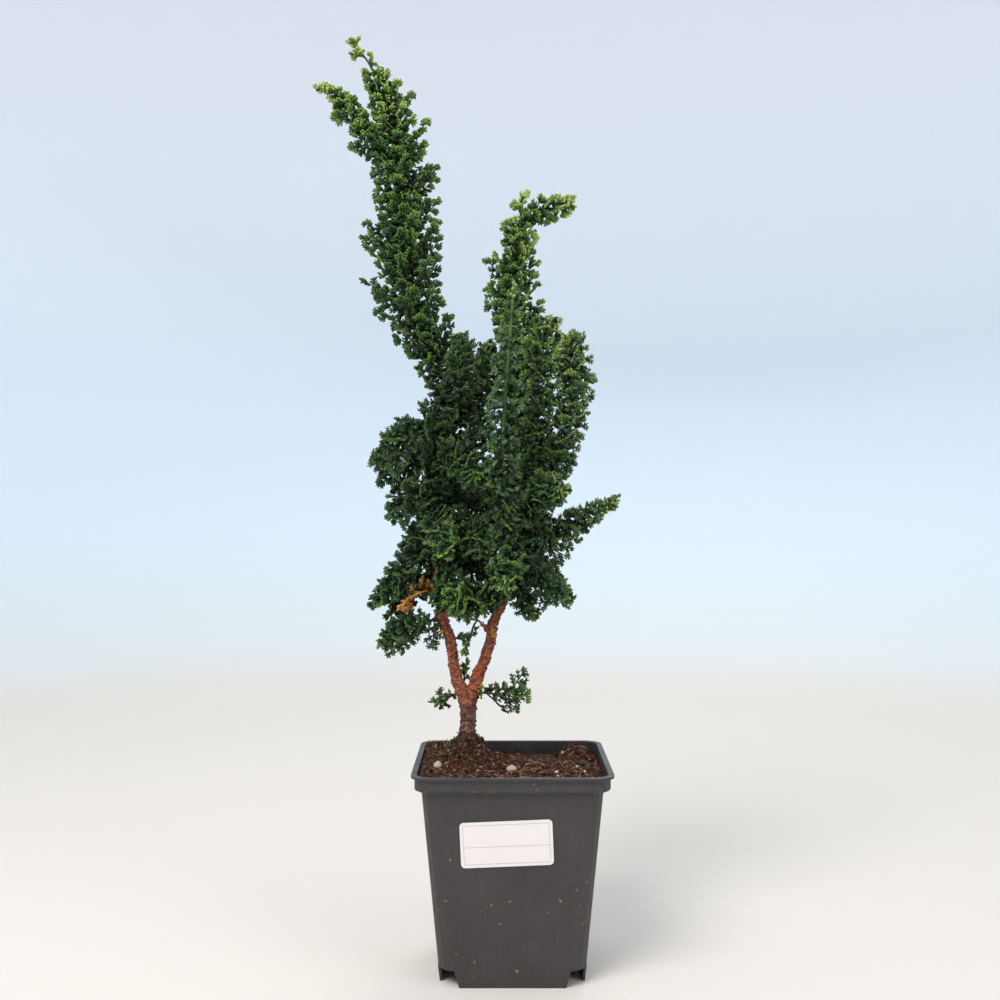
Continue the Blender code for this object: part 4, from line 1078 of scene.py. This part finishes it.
def on_soil(rng, spread=0.93):
    """A random place on the soil, clear of the pot's wall and of the trunk."""
    while True:
        rim = (BAND_HALF - WALL_CLEARANCE) * spread
        x = POT_CENTRE.x + rng.uniform(-rim, rim)
        y = POT_CENTRE.y + rng.uniform(-rim, rim)
        if math.hypot(x, y) > TRUNK_CLEARANCE:
            return Vector((x, y, crumbled_height(x, y)))


def lump(rng, radius, flat):
    """Points and triangles of a rough stone or crumb."""
    bm = bmesh.new()
    bmesh.ops.create_icosphere(bm, subdivisions=2, radius=radius)
    shift = rng.uniform(0, 90)
    for vertex in bm.verts:
        rough = noise.noise(vertex.co * 2.2 / radius + Vector((shift, 0, 0)))
        vertex.co *= 1 + 0.6 * rough
        vertex.co.z *= flat
    points = np.array([tuple(vertex.co) for vertex in bm.verts])
    faces = np.array([[vertex.index for vertex in face.verts] for face in bm.faces])
    bm.free()
    turn = rng.uniform(0, 2 * math.pi)
    spin = np.array([[math.cos(turn), -math.sin(turn), 0], [math.sin(turn), math.cos(turn), 0],
                     [0, 0, 1]])
    return points @ spin.T, faces


def scatter_lumps(name, material, seed, count, radii, flat, spread=0.93, places=()):
    """Crumbs or stones strewn over the soil, the first of them at the given places."""
    rng = random.Random(seed)
    parts = []
    for i in range(count):
        place = on_soil(rng, spread)
        radius = rng.uniform(*radii)
        if i < len(places):
            x, y, radius = (value * MM for value in places[i])
            place = Vector((x, y, crumbled_height(x, y)))
        points, faces = lump(rng, radius, rng.uniform(*flat))
        tone = np.full(len(points), rng.uniform(0, 1))
        parts.append((points + np.array(place) + [0, 0, 0.1 * radius], faces, {"tone": tone}))
    add_piece(name, parts, material)


def shred(rng, length, width, thickness):
    """Points and triangles of a torn strip of bark: a bent plate with ragged ends."""
    points = []
    bend = rng.uniform(-0.15, 0.15)
    for i in range(SHRED_STATIONS):
        share = i / (SHRED_STATIONS - 1) - 0.5
        half = width / 2 * (1 - (abs(share) * 1.7) ** 3) * rng.uniform(0.75, 1.1)
        lift = bend * length * (0.25 - share * share) * 2
        for across, up in ((-1, -1), (1, -1), (1, 1), (-1, 1)):
            points.append((share * length, across * half,
                           lift + up * thickness / 2 * rng.uniform(0.7, 1.2)))
    faces = band_faces(4, SHRED_STATIONS, 0)
    last = 4 * (SHRED_STATIONS - 1)
    faces += [(0, 3, 2), (0, 2, 1), (last, last + 1, last + 2), (last, last + 2, last + 3)]
    return np.array(points), np.array(faces)


def scatter_shreds(looks):
    """Shreds of bark and peat that lie about on the soil."""
    rng = random.Random(31)
    parts = []
    for _ in range(SHRED_COUNT):
        length = rng.uniform(1.5, 6.0) * MM
        points, faces = shred(rng, length, rng.uniform(0.4, 1.5) * MM,
                              rng.uniform(0.3, 0.7) * MM)
        turn = Euler((rng.uniform(-0.5, 0.5), rng.uniform(-0.45, 0.45),
                      rng.uniform(0, 2 * math.pi)))
        place = on_soil(rng, 0.9)
        points = points @ np.array(turn.to_matrix()).T + np.array(place) + [0, 0, 0.5 * MM]
        tone = np.full(len(points), rng.uniform(0, 1))
        parts.append((points, faces, {"tone": tone}))
    add_piece("bark_shreds", parts, looks["shreds"])


def scatter_fibres(looks):
    """Thin roots and peat fibres, each a bent string of rods."""
    rng = random.Random(41)
    growth = Growth()
    for _ in range(FIBRE_COUNT):
        point = on_soil(rng, 0.88) + Vector((0, 0, 0.3 * MM))
        turn, lift = rng.uniform(0, 2 * math.pi), rng.uniform(0.0, 0.5)
        radius = rng.uniform(0.1, 0.24) * MM
        step = rng.uniform(1.0, 2.6) * MM
        for _ in range(FIBRE_PARTS):
            turn += rng.uniform(-0.6, 0.6)
            lift -= rng.uniform(0.0, 0.35)
            move = Vector((math.cos(turn) * math.cos(lift), math.sin(turn) * math.cos(lift),
                           math.sin(lift)))
            further = point + move * step
            growth.rod(point, further, radius, radius * 0.9, rng.uniform(0, 1), 1.0)
            point = further
    add_piece("roots_and_fibres", [rod_points(growth.rods)], looks["fibres"])


def make_moss(looks):
    """Short dark moss on the mound and the bank, and a sprig at the right edge."""
    rng = random.Random(51)
    growth = Growth()
    places = []
    for _ in range(MOSS_COUNT):
        away, turn = rng.uniform(6.0, 18.0) * MM, rng.uniform(0, 2 * math.pi)
        places.append((math.cos(turn) * away, math.sin(turn) * away, rng.uniform(1.2, 3.0)))
    for _ in range(BANK_MOSS_COUNT):
        places.append((rng.uniform(-24, 4) * MM, rng.uniform(-45, 32) * MM,
                       rng.uniform(1.0, 2.6)))
    for _ in range(SPRIG_COUNT):
        places.append((SPRIG_PLACE[0] + rng.gauss(0, SPRIG_SPREAD),
                       SPRIG_PLACE[1] + rng.gauss(0, SPRIG_SPREAD), rng.uniform(2.5, 6.5)))
    for x, y, size in places:
        if rough_at(x * 110, y * 110, 2) < -0.15 and size < 2.5:
            continue
        root = Vector((x, y, crumbled_height(x, y) - ROOT_DEPTH))
        heading = Vector((rng.uniform(-0.8, 0.8), rng.uniform(-0.8, 0.8), 1)).normalized()
        growth.finger(root, heading, heading.orthogonal(), size * MM, rng.uniform(0.5, 0.9) * MM,
                      rng.uniform(0, 1), 0.15)
    add_piece("moss", [finger_points(growth.fingers)], looks["moss"])


def make_ground(looks):
    make_soil_body(looks)
    scatter_lumps("soil_crumbs", looks["potting_soil"], 61, CRUMB_COUNT, (0.6 * MM, 1.7 * MM),
                  (0.6, 1.0))
    scatter_lumps("perlite", looks["perlite"], 62, PERLITE_COUNT, (0.35 * MM, 1.2 * MM),
                  (0.7, 1.0), 0.85, PERLITE_PLACES)
    scatter_shreds(looks)
    scatter_fibres(looks)
    make_moss(looks)


# Pot and label


def dress_pot(looks):
    """The CAD's pot with its edges rounded a little."""
    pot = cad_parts["pot"]
    bevel = pot.modifiers.new("edges", "BEVEL")
    bevel.width = EDGE_ROUNDING
    bevel.segments = 2
    bevel.limit_method = "ANGLE"
    bevel.angle_limit = EDGE_ANGLE
    for slot in pot.material_slots:
        slot.material = looks["pot_plastic"]


def make_label_rules(looks):
    """A plain printed frame on the blank label, with one rule across it."""
    slope = math.atan((WALL_TOP_HALF - WALL_BOTTOM_HALF) / (BAND_BOTTOM - FOOT_HEIGHT))
    outward = Vector((0, -math.cos(slope), -math.sin(slope)))
    place = POT_CENTRE + Vector((LABEL_PLACE[0], -wall_half(LABEL_PLACE[1]), LABEL_PLACE[1]))
    place += outward * (FIT_GAP + LABEL_THICKNESS + RULE_THICKNESS / 2)
    lay = (Matrix.Translation(place) @ Matrix.Rotation(math.pi / 2 + slope, 4, "X")
           @ Matrix.Rotation(LABEL_TURN, 4, "Z"))
    half_x, half_y = LABEL_SIZE[0] / 2 - RULE_INSET, LABEL_SIZE[1] / 2 - RULE_INSET
    bars = [
        (0, half_y, half_x, RULE_HALF), (0, -half_y, half_x, RULE_HALF),
        (-half_x, 0, RULE_HALF, half_y), (half_x, 0, RULE_HALF, half_y),
        (0, CROSS_RULE * half_y, half_x, RULE_HALF),
    ]
    bm = bmesh.new()
    for x, y, wide, high in bars:
        for vertex in bmesh.ops.create_cube(bm, size=1.0)["verts"]:
            vertex.co = Vector((x + vertex.co.x * 2 * wide, y + vertex.co.y * 2 * high,
                                vertex.co.z * RULE_THICKNESS))
    bm.transform(lay)
    mesh = bpy.data.meshes.new("label_rules")
    bm.to_mesh(mesh)
    bm.free()
    dress(add_object("label_rules", mesh), looks["label_ink"])


# Materials


class NodeTree:
    """Short ways to add and link shader nodes."""

    def __init__(self, name):
        self.material = bpy.data.materials.new(name)
        self.material.use_nodes = True
        self.tree = self.material.node_tree
        self.shader = self.tree.nodes["Principled BSDF"]

    def feed(self, socket, value):
        """Set the socket to this number or colour, or link this output to it."""
        if isinstance(value, (int, float)):
            socket.default_value = value
        elif isinstance(value, tuple):
            socket.default_value = (*value, 1.0)
        else:
            self.tree.links.new(value, socket)

    def give(self, name, value):
        """Feed an input of the shader itself."""
        self.feed(self.shader.inputs[name], value)

    def add(self, kind, inputs, **settings):
        """A new node with these settings and inputs."""
        node = self.tree.nodes.new(kind)
        for key, value in settings.items():
            setattr(node, key, value)
        for key, value in inputs.items():
            self.feed(node.inputs[key], value)
        return node

    def attribute(self, name):
        return self.add("ShaderNodeAttribute", {}, attribute_name=name).outputs["Fac"]

    def place(self, scale=(1, 1, 1)):
        """Object coordinates, scaled."""
        coordinates = self.add("ShaderNodeTexCoord", {}).outputs["Object"]
        mapping = self.add("ShaderNodeMapping", {"Vector": coordinates})
        mapping.inputs["Scale"].default_value = scale
        return mapping.outputs["Vector"]

    def height(self):
        return self.add("ShaderNodeSeparateXYZ", {"Vector": self.place()}).outputs["Z"]

    def noise(self, vector, scale, detail=3.0, roughness=0.55):
        return self.add("ShaderNodeTexNoise", {
            "Vector": vector, "Scale": scale, "Detail": detail, "Roughness": roughness,
        }).outputs["Fac"]

    def math(self, operation, first, second=0.5, third=0.5, clamp=False):
        inputs = {0: first, 1: second, 2: third}
        node = self.add("ShaderNodeMath", inputs, operation=operation, use_clamp=clamp)
        return node.outputs["Value"]

    def ramp(self, factor, stops):
        """Colours (or greys) at places along a factor."""
        node = self.add("ShaderNodeValToRGB", {"Fac": factor})
        elements = node.color_ramp.elements
        elements[0].position, elements[1].position = stops[0][0], stops[-1][0]
        made = [elements[0], *(elements.new(at) for at, _ in stops[1:-1]), elements[-1]]
        for element, (_, colour) in zip(made, stops):
            element.color = (*colour, 1.0) if isinstance(colour, tuple) else (colour,) * 3 + (1.0,)
        return node.outputs["Color"]

    def mix(self, factor, first, second, blend="MIX"):
        inputs = {0: factor, 6: first, 7: second}
        return self.add("ShaderNodeMix", inputs, data_type="RGBA", blend_type=blend).outputs[2]

    def bump(self, height, strength, distance):
        inputs = {"Height": height, "Strength": strength, "Distance": distance}
        self.give("Normal", self.add("ShaderNodeBump", inputs).outputs["Normal"])


def leaf_material():
    """Green that yellows with tone and towards the tips, darker at each finger's base as painted
    shade, with bloom, bark and rows of scales.
    """
    made = NodeTree("leaf")
    place = made.place()
    patches = made.noise(place, 90.0)
    # Each finger is yellower at its tip, partly as young growth and partly as painted light, and
    # darker at its base as painted shade between the fingers; the tone also carries the shade
    # leaves' painted shade
    age_and_shade = made.math("MULTIPLY_ADD", made.attribute("tip"), 0.8, -0.37)
    age_and_shade = made.math("ADD", made.attribute("tone"), age_and_shade)
    age_and_shade = made.math("ADD", age_and_shade, made.math("MULTIPLY_ADD", patches, 0.5, -0.25), clamp=True)
    green = made.ramp(age_and_shade, (
        (0.0, (0.008, 0.022, 0.006)), (0.3, (0.03, 0.075, 0.014)), (0.55, (0.08, 0.165, 0.028)),
        (0.8, (0.18, 0.29, 0.045)), (1.0, (0.36, 0.45, 0.1)),
    ))
    bloom = made.ramp(made.noise(place, 240.0), ((0.48, 0.0), (0.66, 1.0)))
    bloom = made.math("MULTIPLY", bloom, made.attribute("cool"))
    green = made.mix(bloom, green, (0.13, 0.19, 0.13))
    wood = made.ramp(made.noise(made.place((1, 1, 0.2)), 500.0), (
        (0.3, (0.035, 0.018, 0.01)), (0.7, (0.1, 0.055, 0.028)),
    ))
    made.give("Base Color", made.mix(made.attribute("wood"), green, wood))
    made.give("Specular IOR Level", 0.25)
    made.give("Roughness", made.ramp(patches, ((0.3, 0.42), (0.7, 0.62))))
    scales = made.math("SINE", made.math("MULTIPLY", made.attribute("scale"), 4.6))
    grain = made.math("ADD", made.math("MULTIPLY", scales, 0.4), made.noise(place, 900.0, 2.0))
    made.bump(grain, 0.5, 0.3 * MM)
    return made.material


def dead_leaf_material():
    made = NodeTree("dead_leaf")
    place = made.place()
    patches = made.noise(place, 180.0)
    made.give("Base Color", made.ramp(patches, (
        (0.3, (0.1, 0.035, 0.012)), (0.45, (0.34, 0.13, 0.025)), (0.7, (0.62, 0.32, 0.07)),
    )))
    made.give("Roughness", made.ramp(patches, ((0.3, 0.7), (0.7, 0.9))))
    made.bump(made.noise(place, 900.0, 2.0), 0.5, 0.3 * MM)
    return made.material


def bark_material():
    """Reddish brown scales, greyer towards the soil, with orange bare patches at the fork, and
    darkened high up as painted shade inside the crown.
    """
    made = NodeTree("bark")
    scales = made.noise(made.place((1.0, 1.0, 1.5)), 520.0, 4.0, 0.65)
    patches = made.noise(made.place(), 240.0)
    height = made.math("MULTIPLY", made.height(), 4.0)
    brown = made.ramp(scales, (
        (0.3, (0.03, 0.01, 0.007)), (0.45, (0.14, 0.038, 0.022)), (0.6, (0.28, 0.09, 0.052)),
        (0.75, (0.5, 0.27, 0.19)),
    ))
    grey = made.ramp(scales, (
        (0.3, (0.025, 0.011, 0.009)), (0.5, (0.1, 0.045, 0.036)), (0.75, (0.36, 0.22, 0.18)),
    ))
    orange = made.ramp(scales, (
        (0.3, (0.1, 0.02, 0.008)), (0.5, (0.3, 0.07, 0.024)), (0.7, (0.52, 0.2, 0.08)),
    ))
    low = made.ramp(height, ((0.56, 1.0), (0.62, 0.0)))
    fork = made.ramp(height, ((0.59, 0.0), (0.62, 0.1), (0.67, 0.1), (0.72, 0.0)))
    # Painted shade: the bark high up inside the crown is darkened to about a fifth
    shade = made.ramp(height, ((0.8, 1.0), (0.9, 0.22)))
    bare = made.ramp(made.math("ADD", patches, fork), ((0.58, 0.0), (0.64, 1.0)))
    bark = made.mix(bare, made.mix(low, brown, grey), orange)
    made.give("Base Color", made.mix(1.0, bark, shade, "MULTIPLY"))
    made.give("Specular IOR Level", 0.3)
    made.give("Roughness", made.ramp(scales, ((0.3, 0.9), (0.8, 0.66))))
    made.bump(scales, 1.0, 0.6 * MM)
    return made.material


def soil_material():
    made = NodeTree("potting_soil")
    place = made.place()
    crumbs = made.noise(place, 420.0, 5.0, 0.7)
    dark = made.ramp(crumbs, (
        (0.38, (0.003, 0.002, 0.0015)), (0.49, (0.022, 0.009, 0.005)), (0.58, (0.11, 0.045, 0.022)),
        (0.68, (0.38, 0.2, 0.105)),
    ))
    red = made.mix(0.5, dark, (0.075, 0.024, 0.012))
    made.give("Base Color", made.mix(made.noise(place, 70.0, 2.0), dark, red))
    made.give("Specular IOR Level", 0.2)
    made.give("Roughness", 0.95)
    made.bump(crumbs, 1.0, 0.8 * MM)
    return made.material


def scattered_material(name, stops, scale, roughness):
    """Loose bits whose colours run from the first stop to the last, each with its own tone."""
    made = NodeTree(name)
    grain = made.noise(made.place(), scale)
    tone = made.math("ADD", made.math("MULTIPLY", made.attribute("tone"), 0.6),
                     made.math("MULTIPLY", grain, 0.4))
    made.give("Base Color", made.ramp(tone, stops))
    made.give("Roughness", roughness)
    made.bump(grain, 0.6, 0.3 * MM)
    return made.material


def pot_material():
    """Dark grey plastic with upright streaks, paler haze and a few specks of soil."""
    made = NodeTree("pot_plastic")
    place = made.place()
    streaks = made.noise(made.place((1.0, 1.0, 0.035)), 650.0)
    haze = made.noise(place, 26.0, 2.0)
    grey = made.ramp(streaks, ((0.3, (0.026, 0.022, 0.021)), (0.7, (0.038, 0.032, 0.031))))
    grey = made.mix(made.ramp(haze, ((0.4, 0.0), (0.75, 0.35))), grey, (0.06, 0.052, 0.05))
    specks = made.ramp(made.noise(place, 300.0, 1.0), ((0.735, 0.0), (0.76, 1.0)))
    made.give("Base Color", made.mix(specks, grey, (0.2, 0.13, 0.09)))
    made.give("Roughness", made.ramp(made.math("ADD", streaks, haze), ((0.7, 0.36), (1.3, 0.58))))
    made.bump(made.math("ADD", streaks, made.noise(place, 1600.0, 1.0)), 0.12, 0.15 * MM)
    return made.material


def label_material():
    made = NodeTree("label_paper")
    place = made.place()
    fibres = made.noise(place, 900.0)
    stains = made.noise(place, 60.0, 2.0)
    stained = made.ramp(stains, ((0.55, 0.0), (0.8, 0.3)))
    paper = made.ramp(fibres, ((0.3, (0.765, 0.695, 0.685)), (0.7, (0.8, 0.73, 0.72))))
    made.give("Base Color", made.mix(stained, paper, (0.68, 0.62, 0.6)))
    made.give("Roughness", made.ramp(stains, ((0.3, 0.4), (0.7, 0.55))))
    made.bump(fibres, 0.15, 0.1 * MM)
    return made.material


def floor_material():
    """The backdrop: warm by the object, and bluer and paler higher up."""
    made = NodeTree("floor")
    high = made.math("DIVIDE", made.height(), BOWL_SHADED_TO)
    made.give("Base Color", made.ramp(high, (
        (0.0, (0.775, 0.73, 0.665)), (0.035, (0.755, 0.8, 0.79)), (0.18, (0.745, 0.85, 0.92)),
        (0.4, (0.74, 0.84, 0.92)), (0.7, (0.83, 0.88, 0.95)), (1.0, (0.87, 0.89, 0.96)),
    )))
    made.give("Roughness", 0.9)
    made.give("Specular IOR Level", 0.1)
    return made.material


def make_looks():
    """All the materials by name. The scattered ones have stops, noise scale and roughness."""
    scattered = {
        "buds": (((0.3, (0.2, 0.09, 0.015)), (0.7, (0.62, 0.38, 0.05))), 700.0, 0.7),
        "shreds": ((
            (0.2, (0.012, 0.005, 0.003)), (0.5, (0.1, 0.038, 0.018)), (0.78, (0.4, 0.2, 0.1)),
        ), 500.0, 0.85),
        "fibres": ((
            (0.1, (0.06, 0.022, 0.012)), (0.5, (0.24, 0.1, 0.05)), (0.8, (0.5, 0.32, 0.19)),
        ), 500.0, 0.8),
        "perlite": (((0.2, (0.34, 0.28, 0.19)), (0.8, (0.66, 0.58, 0.42))), 700.0, 0.8),
        "moss": ((
            (0.2, (0.012, 0.009, 0.004)), (0.5, (0.05, 0.04, 0.016)), (0.85, (0.12, 0.1, 0.035)),
        ), 500.0, 0.7),
        "label_ink": (((0.0, (0.45, 0.45, 0.46)), (1.0, (0.55, 0.55, 0.56))), 900.0, 0.5),
    }
    made = {name: scattered_material(name, *look) for name, look in scattered.items()}
    made["leaf"] = leaf_material()
    made["dead_leaf"] = dead_leaf_material()
    made["bark"] = bark_material()
    made["potting_soil"] = soil_material()
    made["pot_plastic"] = pot_material()
    made["label_paper"] = label_material()
    return made


# Studio


def make_camera():
    data = bpy.data.cameras.new("camera")
    data.lens = CAMERA_LENS
    data.sensor_width = CAMERA_FILM
    data.clip_start = CAMERA_NEAR
    camera = add_object("camera", data)
    camera.location = EYE
    camera.rotation_euler = (CAMERA_TILT, 0, 0)
    bpy.context.scene.camera = camera


def make_backdrop():
    """A pale bowl of a sweep round the object."""
    profile = [(radius, 0.0) for radius in BOWL_FLOOR]
    for step in range(1, BOWL_STEPS + 1):
        turn = step / BOWL_STEPS * math.pi / 2
        profile.append((BOWL_FLOOR[-1] + math.sin(turn) * BOWL_CURVE,
                        BOWL_CURVE - math.cos(turn) * BOWL_CURVE))
    profile += [(BOWL_FLOOR[-1] + BOWL_CURVE, height) for height in BOWL_WALL]
    points = [(0.0, 0.0, 0.0)]
    for radius, height in profile[1:]:
        for side in range(BOWL_SIDES):
            turn = 2 * math.pi * side / BOWL_SIDES
            points.append((math.cos(turn) * radius, math.sin(turn) * radius, height))
    faces = [(0, 1 + side, 1 + (side + 1) % BOWL_SIDES) for side in range(BOWL_SIDES)]
    faces += [(c, b, a) for a, b, c in band_faces(BOWL_SIDES, len(profile) - 1, 1)]
    mesh = bpy.data.meshes.new("floor")
    mesh.from_pydata(points, [], faces)
    mesh.shade_smooth()
    mesh.materials.append(floor_material())
    floor = add_object("floor", mesh)


def area_light(name, place, size, power, colour):
    """A round lamp that shines on the crown."""
    data = bpy.data.lights.new(name, "AREA")
    data.shape = "DISK"
    data.size = size
    data.energy = power
    data.color = colour
    light = add_object(name, data)
    light.location = place
    light.rotation_euler = (LIGHT_TARGET - Vector(place)).to_track_quat("-Z", "Y").to_euler()


def make_light():
    """Soft light from above and in front, and from a pale sky."""
    world = bpy.data.worlds.new("studio")
    world.use_nodes = True
    background = world.node_tree.nodes["Background"]
    background.inputs["Color"].default_value = SKY_COLOUR
    background.inputs["Strength"].default_value = SKY_STRENGTH
    bpy.context.scene.world = world
    bpy.context.scene.view_settings.view_transform = "Standard"
    area_light("key", (-0.6, -1.0, 1.4), 0.85, 21.0, (1.0, 0.98, 0.95))
    area_light("fill", (1.1, -0.9, 0.7), 1.0, 4.0, (0.97, 0.98, 1.0))
    area_light("back", (0.3, 1.2, 1.3), 1.0, 7.0, (1.0, 1.0, 1.0))


looks = make_looks()
for stem_name in LEAFY_STEMS:
    make_leafy_stem(stem_name, looks)
make_inner_shoots(looks)
make_front_shoots(looks)
make_bark(looks)
make_bark_flakes(looks)
make_buds(looks)
make_ground(looks)
dress_pot(looks)
make_label_rules(looks)
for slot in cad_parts["label"].material_slots:
    slot.material = looks["label_paper"]
make_camera()
make_backdrop()
make_light()
